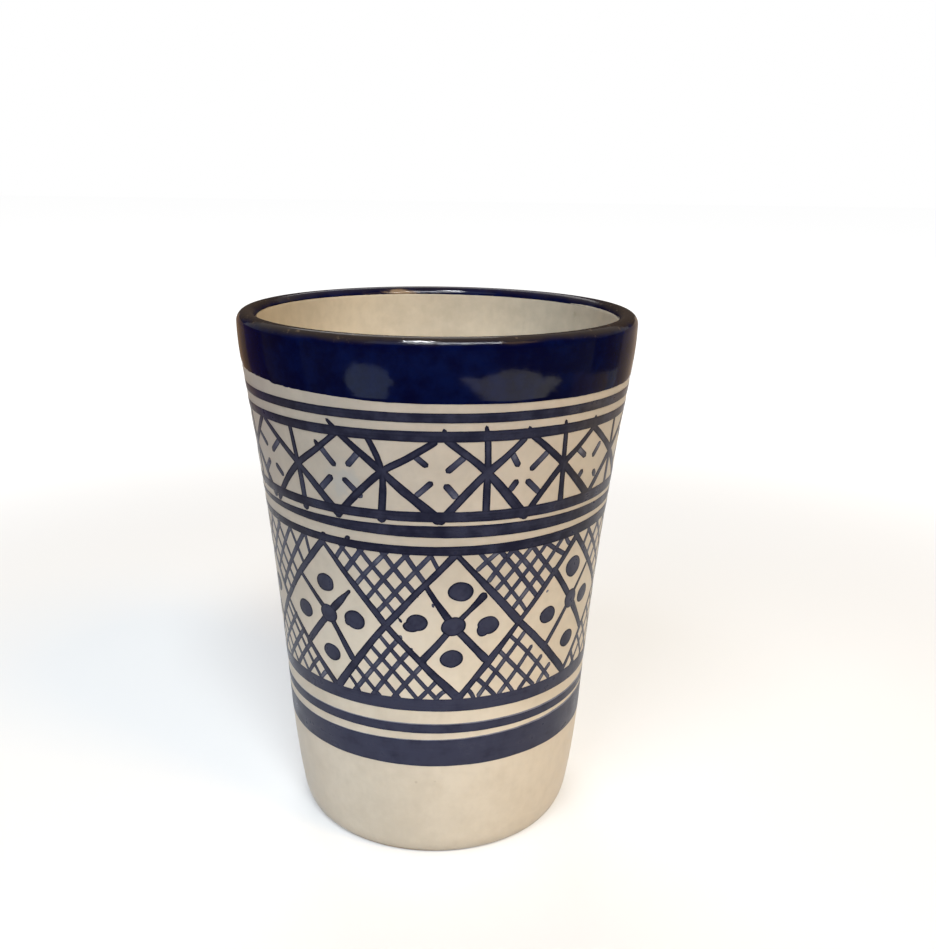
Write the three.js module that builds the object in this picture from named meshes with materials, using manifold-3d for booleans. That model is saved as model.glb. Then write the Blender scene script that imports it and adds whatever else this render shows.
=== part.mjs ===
// Earthenware tumbler with a cobalt rim and two hand-painted friezes.
// Millimetres, +Z up. The origin is the middle of the foot, where the cup stands.
import * as THREE from 'three';
import { mergeVertices } from 'three/addons/utils/BufferGeometryUtils.js';
import loadManifold from 'manifold-3d';

const wasm = await loadManifold();
wasm.setup();

// Thrown shape: outer face of the glazed wall
const CUP_HEIGHT = 110;
const BELLY_RADIUS = 31.4; // where the line of the wall would meet the table
const STRAIGHT_FLARE = 3.6; // widening from table to lip that rises in a straight line
const CURVED_FLARE = 6.75; // widening that gathers towards the lip
const LIP_TUCK = 0.9; // how far the wall straightens up again below the lip
const LIP_TUCK_DEPTH = 10;
const FOOT_TUCK = 1.9; // how far the lowest wall draws in
const TUCK_HEIGHT = 24;
const FOOT_ROUND_WIDTH = 1.3;
const FOOT_ROUND_HEIGHT = 4.5;

// Clay thickness, glaze included
const LIP_WALL = 4;
const FOOT_WALL = 5;
const FLOOR_THICKNESS = 6.5;
const INNER_CORNER = 9;
const FOOT_DISH_RADIUS = 17;
const FOOT_DISH_SLOPE = 3;
const FOOT_DISH_DEPTH = 0.9;

// Coats of glaze, and the paint that stands on them
const GLAZE = 0.4;
const COAT_CLEARANCE = 0.05;
const BARE_FOOT = 1.2; // height of the unglazed edge of the foot
const LIP_COBALT_INSIDE = 3.4; // how far the cobalt runs down inside, below the top
const PAINT = 0.25;
const PAINT_CLEARANCE = 0.2;
const PAINT_OVERLAP = 0.07; // a later stroke lies this much higher than the one it crosses

// Painted rings from the lip downwards: bare gap above each, then its width
const RIM_BAND = 11.5;
const RIM_LINE_GAP = 1.8;
const RIM_LINE = 1.7;
const UPPER_TOP_GAP = 1.8;
const UPPER_TOP_LINE = 1.7;
const UPPER_FRIEZE = 13.8;
const UPPER_FOOT_LINE = 1.7;
const MIDDLE_GAP = 1.2;
const MIDDLE_LINE = 1.8;
const LOWER_TOP_GAP = 2;
const LOWER_TOP_LINE = 1.5;

// Painted rings from the foot upwards: the lower frieze fills what is left between
const PLAIN_FOOT = 22.9;
const BROAD_BAND = 5.5;
const BROAD_GAP = 1.9;
const THIN_LINE = 1.8;
const THIN_GAP = 3.4;
const LOWER_FOOT_LINE = 2.3;

// Upper frieze: diamonds between crossed strokes, with a post through each crossing
const DIAMONDS = 13;
const DIAMOND_TURN = 0; // degrees from the front to the middle of the first diamond
const DIAMOND_STROKE = 1.5;
const POST_STROKE = 1.4;
const TICK_STROKE = 1.1;
const TICK_LENGTH = 3;

// Lower frieze: lozenges with a cross, a blob and four dots in each
const LOZENGES = 8;
const LOZENGE_TURN = 5.4;
const LOZENGE_STROKE = 1.6;
const CROSS_STROKE = 1.5;
const BLOB_RADIUS = 2.2;
const DOT_RADIUS = 2.1;

// Facets
const SEGMENTS = 36;
const WALL_STEPS = 4;
const RIM_STEPS = 2;
const LIP_STEPS = 4;
const CORNER_STEPS = 3;
const STROKE_STEP_DEG = 7.5;
const BEAD_CORNERS = 3;
const DAUB_SIDES = 10;

const FULL_TURN_DEG = 360;
const CLAY_DEPTH = GLAZE + COAT_CLEARANCE;
const LIP_CENTRE_Z = CUP_HEIGHT - LIP_WALL / 2;
const RIM_EDGE_Z = CUP_HEIGHT - RIM_BAND;
const LINING_TOP_Z = CUP_HEIGHT - LIP_COBALT_INSIDE;
const INNER_CORNER_Z = FLOOR_THICKNESS + INNER_CORNER;

// Finishes
const finish = (color, roughness) => new THREE.MeshStandardMaterial({ color, roughness, metalness: 0 });
const BARE_CLAY = finish(0xb98a63, 0.9);
const CREAM_GLAZE = finish(0xd7c8b2, 0.25);
const LINING_GLAZE = finish(0xc6b79d, 0.25);
const COBALT_GLAZE = finish(0x0a1237, 0.12);
const BLUE_PAINT = finish(0x33364c, 0.3);

const cup = new THREE.Group();

function addPiece(name, geometry, material) {
  const mesh = new THREE.Mesh(geometry, material);
  mesh.name = name;
  cup.add(mesh);
}

// Radius of the glazed outer face at a height
function outerRadius(z) {
  const share = z / CUP_HEIGHT;
  const flare = STRAIGHT_FLARE * share + CURVED_FLARE * share * share;
  const footTuck = FOOT_TUCK * Math.max(0, 1 - z / TUCK_HEIGHT) ** 2;
  const lipTuck = LIP_TUCK * Math.max(0, 1 - (CUP_HEIGHT - z) / LIP_TUCK_DEPTH) ** 2;
  const turn = Math.max(0, 1 - z / FOOT_ROUND_HEIGHT);
  const corner = FOOT_ROUND_WIDTH * (1 - Math.sqrt(1 - turn * turn));
  return BELLY_RADIUS + flare - footTuck - lipTuck - corner;
}

// Radius of the glazed inner face: the wall thickens towards the foot
function innerRadius(z) {
  const depth = (LIP_CENTRE_Z - z) / LIP_CENTRE_Z;
  return outerRadius(z) - LIP_WALL - (FOOT_WALL - LIP_WALL) * depth;
}

// Points from one height to another on either face, sunk below the glaze by a depth
function wallPoints(radiusAt, depth, fromZ, toZ, steps) {
  return Array.from({ length: steps + 1 }, (_, i) => {
    const z = fromZ + ((toZ - fromZ) * i) / steps;
    return new THREE.Vector2(radiusAt(z) + depth, z);
  });
}

const outerPoints = (depth, fromZ, toZ, steps) => wallPoints(outerRadius, -depth, fromZ, toZ, steps);
const innerPoints = (depth, fromZ, toZ, steps) => wallPoints(innerRadius, depth, fromZ, toZ, steps);

// The rounded foot corner and the wall above it, as far up as a given height
function footAndWall(depth, fromZ, toZ) {
  const corner = outerPoints(depth, fromZ, FOOT_ROUND_HEIGHT, CORNER_STEPS);
  return [...corner, ...outerPoints(depth, FOOT_ROUND_HEIGHT, toZ, WALL_STEPS).slice(1)];
}

// Half-round lip, from the outer face over to the inner face, its two ends left to the walls
function lipPoints(depth) {
  const centre = outerRadius(LIP_CENTRE_Z) - LIP_WALL / 2;
  const radius = LIP_WALL / 2 - depth;
  return Array.from({ length: LIP_STEPS - 1 }, (_, i) => {
    const angle = (Math.PI * (i + 1)) / LIP_STEPS;
    return new THREE.Vector2(centre + radius * Math.cos(angle), LIP_CENTRE_Z + radius * Math.sin(angle));
  });
}

// Inside corner and floor, from the wall down to the axis
function floorPoints(depth) {
  const centre = innerRadius(INNER_CORNER_Z) - INNER_CORNER;
  const radius = INNER_CORNER + depth;
  const arc = Array.from({ length: CORNER_STEPS }, (_, i) => {
    const angle = (Math.PI / 2) * ((i + 1) / CORNER_STEPS);
    return new THREE.Vector2(centre + radius * Math.cos(angle), INNER_CORNER_Z - radius * Math.sin(angle));
  });
  return [...arc, new THREE.Vector2(0, FLOOR_THICKNESS - depth)];
}

// Turned shape from a profile that runs up the outside and down the inside
function turned(points) {
  return new THREE.LatheGeometry(points, SEGMENTS).rotateX(Math.PI / 2);
}

// A coat between an outer run of points and an inner run, both in the same direction
const coat = (outer, inner) => turned([...outer, ...inner.toReversed(), outer[0]]);

// The three glazed faces, sunk by a depth: outside wall, lip, and lining
const outsideFace = (depth) => footAndWall(depth, BARE_FOOT, RIM_EDGE_Z - COAT_CLEARANCE);
const lipFace = (depth) => [
  ...outerPoints(depth, RIM_EDGE_Z, LIP_CENTRE_Z, RIM_STEPS),
  ...lipPoints(depth),
  ...innerPoints(depth, LIP_CENTRE_Z, LINING_TOP_Z, 1),
];
const liningFace = (depth) => [
  ...innerPoints(depth, LINING_TOP_Z - COAT_CLEARANCE, INNER_CORNER_Z, WALL_STEPS),
  ...floorPoints(depth),
];

// Thrown clay under the coats, with a bare foot and a shallow dish beneath it
const foot = [
  new THREE.Vector2(0, FOOT_DISH_DEPTH),
  new THREE.Vector2(FOOT_DISH_RADIUS, FOOT_DISH_DEPTH),
  new THREE.Vector2(FOOT_DISH_RADIUS + FOOT_DISH_SLOPE, 0),
  new THREE.Vector2(outerRadius(0) - CLAY_DEPTH, 0),
];
const clayProfile = [
  ...foot,
  ...outsideFace(CLAY_DEPTH),
  ...lipFace(CLAY_DEPTH),
  ...liningFace(CLAY_DEPTH),
];
addPiece('earthenware_body', turned(clayProfile), BARE_CLAY);

// Coats of glaze
addPiece('outside_glaze', coat(outsideFace(0), outsideFace(GLAZE)), CREAM_GLAZE);
addPiece('rim_glaze', coat(lipFace(0), lipFace(GLAZE)), COBALT_GLAZE);
addPiece('lining_glaze', turned([...liningFace(GLAZE).toReversed(), ...liningFace(0)]), LINING_GLAZE);

// Painted rings
const rings = {};

function addRing(name, lowZ, highZ) {
  const low = outerRadius(lowZ) + PAINT_CLEARANCE;
  const high = outerRadius(highZ) + PAINT_CLEARANCE;
  const outer = [new THREE.Vector2(low + PAINT, lowZ), new THREE.Vector2(high + PAINT, highZ)];
  const inner = [new THREE.Vector2(low, lowZ), new THREE.Vector2(high, highZ)];
  addPiece(name, coat(outer, inner), BLUE_PAINT);
  rings[name] = { lowZ, highZ };
}

let z = RIM_EDGE_Z;
for (const [name, gap, width] of [
  ['rim_line', RIM_LINE_GAP, RIM_LINE],
  ['upper_frieze_top_line', UPPER_TOP_GAP, UPPER_TOP_LINE],
  ['upper_frieze_foot_line', UPPER_FRIEZE, UPPER_FOOT_LINE],
  ['middle_line', MIDDLE_GAP, MIDDLE_LINE],
  ['lower_frieze_top_line', LOWER_TOP_GAP, LOWER_TOP_LINE],
]) {
  z -= gap + width;
  addRing(name, z, z + width);
}

z = 0;
for (const [name, gap, width] of [
  ['broad_band', PLAIN_FOOT, BROAD_BAND],
  ['thin_line', BROAD_GAP, THIN_LINE],
  ['lower_frieze_foot_line', THIN_GAP, LOWER_FOOT_LINE],
]) {
  z += gap + width;
  addRing(name, z - width, z);
}

// Point of the painted wall: degrees round from the front, height, and height of the paint
function paintPoint(degrees, height, lift) {
  const angle = THREE.MathUtils.degToRad(degrees);
  const radius = outerRadius(height) + lift;
  return [radius * Math.sin(angle), -radius * Math.cos(angle), height];
}

const liftOf = (layer) => PAINT_CLEARANCE + layer * PAINT_OVERLAP;
const degreesPerMm = (height) => THREE.MathUtils.radToDeg(1 / outerRadius(height));

function closedGeometry(points, triangles) {
  const geometry = new THREE.BufferGeometry();
  geometry.setAttribute('position', new THREE.Float32BufferAttribute(points.flat(), 3));
  geometry.setIndex(triangles.flat());
  return geometry;
}

// One brush stroke, straight on the unrolled wall, between two [degrees, height] ends:
// a bead of paint, flat beneath and highest along its middle
function strokeGeometry([fromDeg, fromZ], [toDeg, toZ], width, layer) {
  const run = (toDeg - fromDeg) / degreesPerMm((fromZ + toZ) / 2);
  const rise = toZ - fromZ;
  const length = Math.hypot(run, rise);
  const side = [(-rise / length) * (width / 2), (run / length) * (width / 2)];
  const steps = Math.max(1, Math.ceil(Math.abs(toDeg - fromDeg) / STROKE_STEP_DEG));
  const low = liftOf(layer);
  const points = [];
  const triangles = [];
  for (let i = 0; i <= steps; i += 1) {
    const degrees = fromDeg + ((toDeg - fromDeg) * i) / steps;
    const height = fromZ + (rise * i) / steps;
    for (const [edge, lift] of [[1, low], [0, low + PAINT], [-1, low]]) {
      const edgeZ = height + edge * side[1];
      points.push(paintPoint(degrees + edge * side[0] * degreesPerMm(edgeZ), edgeZ, lift));
    }
  }
  for (let i = 0; i < steps; i += 1) {
    for (let corner = 0; corner < BEAD_CORNERS; corner += 1) {
      const a = BEAD_CORNERS * i + corner;
      const b = BEAD_CORNERS * i + ((corner + 1) % BEAD_CORNERS);
      triangles.push([a, b, b + BEAD_CORNERS], [a, b + BEAD_CORNERS, a + BEAD_CORNERS]);
    }
  }
  const end = BEAD_CORNERS * steps;
  triangles.push([0, 2, 1], [end, end + 1, end + 2]);
  return closedGeometry(points, triangles);
}

// Round daub of paint on the wall, highest in the middle
function daubGeometry([degrees, height], radius, layer) {
  const low = liftOf(layer);
  const points = [paintPoint(degrees, height, low), paintPoint(degrees, height, low + PAINT)];
  const triangles = [];
  for (let i = 0; i < DAUB_SIDES; i += 1) {
    const angle = (2 * Math.PI * i) / DAUB_SIDES;
    const edgeZ = height + radius * Math.sin(angle);
    const edgeDeg = degrees + radius * Math.cos(angle) * degreesPerMm(edgeZ);
    points.push(paintPoint(edgeDeg, edgeZ, low));
    const a = 2 + i;
    const b = 2 + ((i + 1) % DAUB_SIDES);
    triangles.push([0, b, a], [1, a, b]);
  }
  return closedGeometry(points, triangles);
}

// Joins strokes into one layer of brushwork, trimmed just clear of the rings above and below
function solidOf(geometry) {
  const bare = geometry.clone();
  bare.deleteAttribute('normal');
  bare.deleteAttribute('uv');
  const merged = mergeVertices(bare);
  const vertProperties = merged.getAttribute('position').array;
  const triVerts = new Uint32Array(merged.getIndex().array);
  return new wasm.Manifold(new wasm.Mesh({ numProp: 3, vertProperties, triVerts }));
}

function trimmedBrushwork(strokes, lowZ, highZ) {
  const reach = LIP_WALL;
  const zoneFace = (depth) => outerPoints(depth, lowZ + PAINT_CLEARANCE, highZ - PAINT_CLEARANCE, 1);
  const zone = solidOf(coat(zoneFace(-reach), zoneFace(reach)));
  const joined = strokes.map(solidOf).reduce((sum, stroke) => sum.add(stroke));
  const { vertProperties, triVerts } = joined.intersect(zone).getMesh();
  const geometry = new THREE.BufferGeometry();
  geometry.setAttribute('position', new THREE.BufferAttribute(vertProperties, 3));
  geometry.setIndex(new THREE.BufferAttribute(triVerts, 1));
  return geometry;
}

// Upper frieze: two crossing zig-zags, posts, and four ticks that point into each diamond
function upperFriezeStrokes(lowZ, highZ) {
  const pitch = FULL_TURN_DEG / DIAMONDS;
  const midZ = (lowZ + highZ) / 2;
  const tickReach = TICK_LENGTH * Math.SQRT1_2;
  const strokes = [];
  for (let i = 0; i < DIAMONDS; i += 1) {
    const middle = DIAMOND_TURN + i * pitch;
    const next = middle + pitch;
    const post = middle + pitch / 2;
    strokes.push(strokeGeometry([middle, highZ], [next, lowZ], DIAMOND_STROKE, 0));
    strokes.push(strokeGeometry([middle, lowZ], [next, highZ], DIAMOND_STROKE, 1));
    strokes.push(strokeGeometry([post, highZ], [post, lowZ], POST_STROKE, 2));
    for (const across of [-1, 1]) {
      for (const [edgeZ, up] of [[(midZ + highZ) / 2, 1], [(midZ + lowZ) / 2, -1]]) {
        const root = [middle + (across * pitch) / 4, edgeZ];
        const tipZ = edgeZ - up * tickReach;
        const tip = [root[0] - across * tickReach * degreesPerMm(tipZ), tipZ];
        strokes.push(strokeGeometry(root, tip, TICK_STROKE, 2));
      }
    }
  }
  return strokes;
}

// Lower frieze: two wide zig-zags make the lozenges, each with a cross and a central blob
function lowerFriezeStrokes(lowZ, highZ) {
  const pitch = FULL_TURN_DEG / LOZENGES;
  const midZ = (lowZ + highZ) / 2;
  const quarterZ = (highZ - lowZ) / 4;
  const strokes = [];
  for (let i = 0; i < LOZENGES; i += 1) {
    const middle = LOZENGE_TURN + i * pitch;
    const next = middle + pitch;
    const arm = pitch / 4;
    strokes.push(strokeGeometry([middle, highZ], [next, lowZ], LOZENGE_STROKE, 0));
    strokes.push(strokeGeometry([middle, lowZ], [next, highZ], LOZENGE_STROKE, 1));
    strokes.push(strokeGeometry([middle - arm, midZ + quarterZ], [middle + arm, midZ - quarterZ], CROSS_STROKE, 2));
    strokes.push(strokeGeometry([middle - arm, midZ - quarterZ], [middle + arm, midZ + quarterZ], CROSS_STROKE, 3));
    strokes.push(daubGeometry([middle, midZ], BLOB_RADIUS, 4));
  }
  return strokes;
}

const upperLow = rings.upper_frieze_foot_line.highZ;
const upperHigh = rings.upper_frieze_top_line.lowZ;
const lowerLow = rings.lower_frieze_foot_line.highZ;
const lowerHigh = rings.lower_frieze_top_line.lowZ;

const upperFrieze = trimmedBrushwork(upperFriezeStrokes(upperLow, upperHigh), upperLow, upperHigh);
const lowerFrieze = trimmedBrushwork(lowerFriezeStrokes(lowerLow, lowerHigh), lowerLow, lowerHigh);
addPiece('upper_frieze_brushwork', upperFrieze, BLUE_PAINT);
addPiece('lower_frieze_brushwork', lowerFrieze, BLUE_PAINT);

// Four dots in the quarters of each lozenge
const lozengePitch = FULL_TURN_DEG / LOZENGES;
const lozengeMidZ = (lowerLow + lowerHigh) / 2;
const dotRise = (lowerHigh - lowerLow) / 4;
for (let i = 0; i < LOZENGES; i += 1) {
  const middle = LOZENGE_TURN + i * lozengePitch;
  for (const [place, across, up] of [['top', 0, 1], ['right', 1, 0], ['bottom', 0, -1], ['left', -1, 0]]) {
    const spot = [middle + (across * lozengePitch) / 4, lozengeMidZ + up * dotRise];
    addPiece(`lozenge_${i + 1}_${place}_dot`, daubGeometry(spot, DOT_RADIUS, 0), BLUE_PAINT);
  }
}

export default cup;
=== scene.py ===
"""Hand-painted earthenware tumbler: its looks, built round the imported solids.

Sizes are written in millimetres and degrees, as a potter would give them, and turned into metres
where a mesh is made. Angles run from the front of the cup, which faces -Y, and are positive towards
+X. Places and sizes of the stage, and of what a finish reads, are in metres.
"""

import logging
import math
import random
from dataclasses import dataclass, field
from enum import Enum
from typing import Any, Iterable, Mapping, Sequence

import bpy
from bpy.types import Material, Mesh, Node, NodeSocket, NodeTree, Object
from mathutils import Matrix, Vector


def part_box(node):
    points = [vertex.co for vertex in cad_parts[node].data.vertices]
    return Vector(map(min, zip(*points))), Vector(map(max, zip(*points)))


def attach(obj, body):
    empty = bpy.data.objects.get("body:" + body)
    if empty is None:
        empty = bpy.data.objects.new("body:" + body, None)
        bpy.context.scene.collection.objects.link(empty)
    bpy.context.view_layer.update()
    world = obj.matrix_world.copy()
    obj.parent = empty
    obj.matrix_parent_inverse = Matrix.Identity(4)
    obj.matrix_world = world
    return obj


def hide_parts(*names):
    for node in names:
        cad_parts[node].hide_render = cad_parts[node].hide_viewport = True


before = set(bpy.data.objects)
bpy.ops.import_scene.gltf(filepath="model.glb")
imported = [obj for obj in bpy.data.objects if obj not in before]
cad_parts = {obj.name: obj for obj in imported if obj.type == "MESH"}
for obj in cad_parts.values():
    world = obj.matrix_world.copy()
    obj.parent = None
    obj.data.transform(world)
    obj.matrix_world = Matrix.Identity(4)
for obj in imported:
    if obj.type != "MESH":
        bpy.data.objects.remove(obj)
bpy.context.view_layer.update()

LOG = logging.getLogger("tumbler")
MM = 0.001
BODY = "root"
PHOTO_LONG_SIDE = 949.0
RAY_START = 60 * MM
HALF = (0.5, 0.5, 0.5)
NOISE_RANGE = (0.3, 0.7)

Spot = tuple[float, float]
Line = tuple[Spot, Spot]
Triple = tuple[float, float, float]
Shares = tuple[tuple[float, ...], ...]
Colour = tuple[float, float, float, float]


class Slot(Enum):
    """The record's material slots."""

    CLAY = "bare_clay"
    CREAM = "cream_glaze"
    LINING = "lining_glaze"
    COBALT = "cobalt_glaze"
    PAINT = "blue_paint"


class Hand(Enum):
    """How a line is drawn: freehand, or by a still brush while the cup turns on a wheel."""

    FREE = (0.4, 0.25)
    WHEEL = (0.12, 0.05)

    @property
    def drift(self) -> float:
        """How far the line drifts, in millimetres."""
        return self.value[0]

    @property
    def swell(self) -> float:
        """Share by which its width swells and thins."""
        return self.value[1]


class Graph:
    """A node tree written as calls, where sockets are passed about as values."""

    def __init__(self, tree: NodeTree) -> None:
        """Keeps the tree that the calls write to."""
        self.tree = tree

    def add(self, kind: str, inputs: Mapping[Any, Any] | None = None, **settings: Any) -> Node:
        """Adds one node.

        Args:
            kind: The node's type name.
            inputs: Input name or number to a socket, which is linked, or to a plain value.
            **settings: The node's own settings.

        Returns:
            The new node.
        """
        node = self.tree.nodes.new(kind)
        for name, value in settings.items():
            setattr(node, name, value)
        for key, value in (inputs or {}).items():
            if isinstance(value, NodeSocket):
                self.tree.links.new(value, node.inputs[key])
            else:
                node.inputs[key].default_value = value
        return node

    def math(self, operation: str, *values: Any) -> NodeSocket:
        """Adds a Math node on up to three numbers or sockets and returns its result."""
        return self.add("ShaderNodeMath", dict(enumerate(values)), operation=operation).outputs[0]

    def vector(self, operation: str, *values: Any) -> NodeSocket:
        """Adds a Vector Math node on one or two vectors and returns its vector."""
        inputs = dict(enumerate(values))
        return self.add("ShaderNodeVectorMath", inputs, operation=operation).outputs[0]

    def scaled(self, vector: Any, factor: Any) -> NodeSocket:
        """Multiplies a vector by one number."""
        inputs = {0: vector, "Scale": factor}
        return self.add("ShaderNodeVectorMath", inputs, operation="SCALE").outputs[0]

    def length(self, vector: Any) -> NodeSocket:
        """Returns a vector's length."""
        return self.add("ShaderNodeVectorMath", {0: vector}, operation="LENGTH").outputs["Value"]

    def combine(self, x: Any = 0.0, y: Any = 0.0, z: Any = 0.0) -> NodeSocket:
        """Makes a vector of three numbers."""
        return self.add("ShaderNodeCombineXYZ", {0: x, 1: y, 2: z}).outputs[0]

    def split(self, vector: NodeSocket) -> Sequence[NodeSocket]:
        """Returns a vector's three numbers."""
        return self.add("ShaderNodeSeparateXYZ", {0: vector}).outputs

    def ramp(self, value: Any, low: Any, high: Any, first: Any = 0.0,
             last: Any = 1.0) -> NodeSocket:
        """Eases a number from first at low to last at high.

        Args:
            value: The number.
            low: Where the ease begins.
            high: Where it ends.
            first: Result at and before low.
            last: Result at and after high.

        Returns:
            The eased number.
        """
        names = ("Value", "From Min", "From Max", "To Min", "To Max")
        inputs = dict(zip(names, (value, low, high, first, last)))
        return self.add("ShaderNodeMapRange", inputs, interpolation_type="SMOOTHSTEP").outputs[0]

    def noise(self, vector: Any, scale: float, detail: float = 2.0, rough: float = 0.5) -> Node:
        """Adds a Noise Texture.

        Args:
            vector: Where it is read.
            scale: Features per unit of the vector.
            detail: Octaves.
            rough: Share that each octave keeps.

        Returns:
            The node, with the number first and three numbers as a colour second.
        """
        inputs = {"Vector": vector, "Scale": scale, "Detail": detail, "Roughness": rough}
        return self.add("ShaderNodeTexNoise", inputs, noise_dimensions="3D")

    def centred(self, value: Any) -> NodeSocket:
        """Shifts a number that runs from 0 to 1 so that it runs about 0."""
        return self.math("SUBTRACT", value, 0.5)

    def waver(self, vector: Any, scale: float, detail: float) -> NodeSocket:
        """Returns a noise that runs about 0."""
        return self.centred(self.noise(vector, scale, detail).outputs[0])

    def feed(self, node: Node, name: str, value: NodeSocket) -> None:
        """Links a value to a node's named input."""
        self.tree.links.new(value, node.inputs[name])


class ShapeTree(Graph):
    """A Geometry Nodes tree with named inputs that ends in one dressed mesh."""

    def __init__(self, name: str) -> None:
        """Starts an empty tree with a shape going in and a shape coming out.

        Args:
            name: The tree's name.
        """
        super().__init__(bpy.data.node_groups.new(name, "GeometryNodeTree"))
        for way in ("INPUT", "OUTPUT"):
            self.tree.interface.new_socket("Geometry", in_out=way, socket_type="NodeSocketGeometry")
        self.entry = self.tree.nodes.new("NodeGroupInput")
        self.exit = self.tree.nodes.new("NodeGroupOutput")
        self.shape = self.entry.outputs[0]

    def ask(self, name: str, kind: str = "NodeSocketFloat") -> NodeSocket:
        """Adds a named input and returns the socket that carries it."""
        self.tree.interface.new_socket(name, in_out="INPUT", socket_type=kind)
        return self.entry.outputs[name]

    def position(self) -> NodeSocket:
        """Returns each point's place."""
        return self.add("GeometryNodeInputPosition").outputs[0]

    def named(self, name: str) -> NodeSocket:
        """Returns a stored number of each point."""
        node = self.add("GeometryNodeInputNamedAttribute", {"Name": name}, data_type="FLOAT")
        return node.outputs[0]

    def store(self, shape: Any, name: str, value: Any) -> NodeSocket:
        """Stores a number on each point.

        Args:
            shape: The shape.
            name: The number's name.
            value: The number.

        Returns:
            The shape.
        """
        inputs = {"Geometry": shape, "Name": name, "Value": value}
        kind = {"data_type": "FLOAT", "domain": "POINT"}
        return self.add("GeometryNodeStoreNamedAttribute", inputs, **kind).outputs[0]

    def shape_of(self, piece: Any) -> NodeSocket:
        """Returns another piece's shape."""
        node = self.add("GeometryNodeObjectInfo", {"Object": piece}, transform_space="RELATIVE")
        return node.outputs["Geometry"]

    def circle(self, points: Any, radius: Any) -> NodeSocket:
        """Returns a circle of a number of points."""
        inputs = {"Resolution": points, "Radius": radius}
        return self.add("GeometryNodeCurvePrimitiveCircle", inputs).outputs[0]

    def shift(self, shape: Any, offset: Any) -> NodeSocket:
        """Moves each point by an offset and returns the shape."""
        return self.add("GeometryNodeSetPosition", {"Geometry": shape, "Offset": offset}).outputs[0]

    def lay(self, shape: Any, place: Any) -> NodeSocket:
        """Puts each point at a place and returns the shape."""
        inputs = {"Geometry": shape, "Position": place}
        return self.add("GeometryNodeSetPosition", inputs).outputs[0]

    def wrap_on_wall(self, shape: Any, wall: Any, reference: Any) -> NodeSocket:
        """Bends a flat layout round the cup and lays it on the glaze.

        The layout's x is the way round at the reference radius, its y the height and its z the lift
        off the glaze. A ray from outside finds the glaze under each point.

        Args:
            shape: The flat layout.
            wall: The glaze shell's shape.
            reference: Radius at which the layout is drawn, in metres.

        Returns:
            The shape on the wall.
        """
        spot = self.split(self.position())
        angle = self.math("DIVIDE", spot[0], reference)
        back = self.math("MULTIPLY", self.math("COSINE", angle), -1.0)
        outward = self.combine(self.math("SINE", angle), back)
        start = self.vector("ADD", self.scaled(outward, RAY_START), self.combine(z=spot[1]))
        ray = {
            "Target Geometry": wall,
            "Source Position": start,
            "Ray Direction": self.scaled(outward, -1.0),
            "Ray Length": RAY_START,
        }
        glaze = self.add("GeometryNodeRaycast", ray).outputs["Hit Position"]
        return self.lay(shape, self.vector("ADD", glaze, self.scaled(outward, spot[2])))

    def dress(self, shape: Any, material: Any, crease: float) -> None:
        """Smooths the shape but for its creases, realizes it and gives it its finish.

        Args:
            shape: The finished shape.
            material: Socket with the finish.
            crease: Angle in radians past which an edge stays sharp.
        """
        angle = self.add("GeometryNodeInputMeshEdgeAngle").outputs["Unsigned Angle"]
        sharp = self.math("GREATER_THAN", angle, crease)
        smooth = {"Geometry": shape, "Shade Smooth": True}
        shape = self.add("GeometryNodeSetShadeSmooth", smooth, domain="FACE").outputs[0]
        creased = {"Geometry": shape, "Selection": sharp, "Shade Smooth": False}
        shape = self.add("GeometryNodeSetShadeSmooth", creased, domain="EDGE").outputs[0]
        shape = self.add("GeometryNodeRealizeInstances", {"Geometry": shape}).outputs[0]
        dressed = {"Geometry": shape, "Material": material}
        shape = self.add("GeometryNodeSetMaterial", dressed).outputs[0]
        self.tree.links.new(shape, self.exit.inputs[0])

    def grow(self, name: str, seed_mesh: Mesh, values: Mapping[str, Any]) -> Object:
        """Runs the tree on a mesh and keeps the result as a plain mesh.

        Args:
            name: The piece's name.
            seed_mesh: Mesh that goes into the tree.
            values: Value of each named input.

        Returns:
            The piece, at the origin, with no modifier left.
        """
        piece = bpy.data.objects.new(name, seed_mesh)
        bpy.context.scene.collection.objects.link(piece)
        modifier = piece.modifiers.new("grow", "NODES")
        modifier.node_group = self.tree
        for item in self.tree.interface.items_tree:
            if item.item_type == "SOCKET" and item.in_out == "INPUT" and item.name in values:
                modifier[item.identifier] = values[item.name]
        depsgraph = bpy.context.evaluated_depsgraph_get()
        mesh = bpy.data.meshes.new_from_object(piece.evaluated_get(depsgraph), depsgraph=depsgraph)
        piece.modifiers.remove(modifier)
        piece.data = mesh
        mesh.name = name
        bpy.data.meshes.remove(seed_mesh)
        return piece


def wire(name: str, chains: Iterable[Sequence[Sequence[float]]], closed: bool = False) -> Mesh:
    """Makes a mesh of bare edges.

    Args:
        name: The mesh's name.
        chains: Chains of points, in metres.
        closed: Whether each chain's last point joins its first.

    Returns:
        The mesh.
    """
    points: list[Sequence[float]] = []
    edges: list[tuple[int, int]] = []
    for chain in chains:
        first = len(points)
        points += chain
        edges += [(i, i + 1) for i in range(first, len(points) - 1)]
        if closed:
            edges.append((len(points) - 1, first))
    mesh = bpy.data.meshes.new(name)
    mesh.from_pydata(points, edges, [])
    return mesh


def note(mesh: Mesh, name: str, values: Sequence[float]) -> None:
    """Stores one number on each of a mesh's points."""
    mesh.attributes.new(name, "FLOAT", "POINT").data.foreach_set("value", values)


def stand_for(piece: Object, slot: Slot, *nodes: str) -> None:
    """Fixes a piece to the cup, hides the solids it stands for, and reports it.

    Args:
        piece: The piece.
        slot: Not used.
        *nodes: The solids that it stands for.
    """
    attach(piece, BODY)
    if nodes:
        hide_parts(*nodes)
    LOG.info("%s: %d faces for %d solids", piece.name, len(piece.data.polygons), len(nodes))


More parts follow.
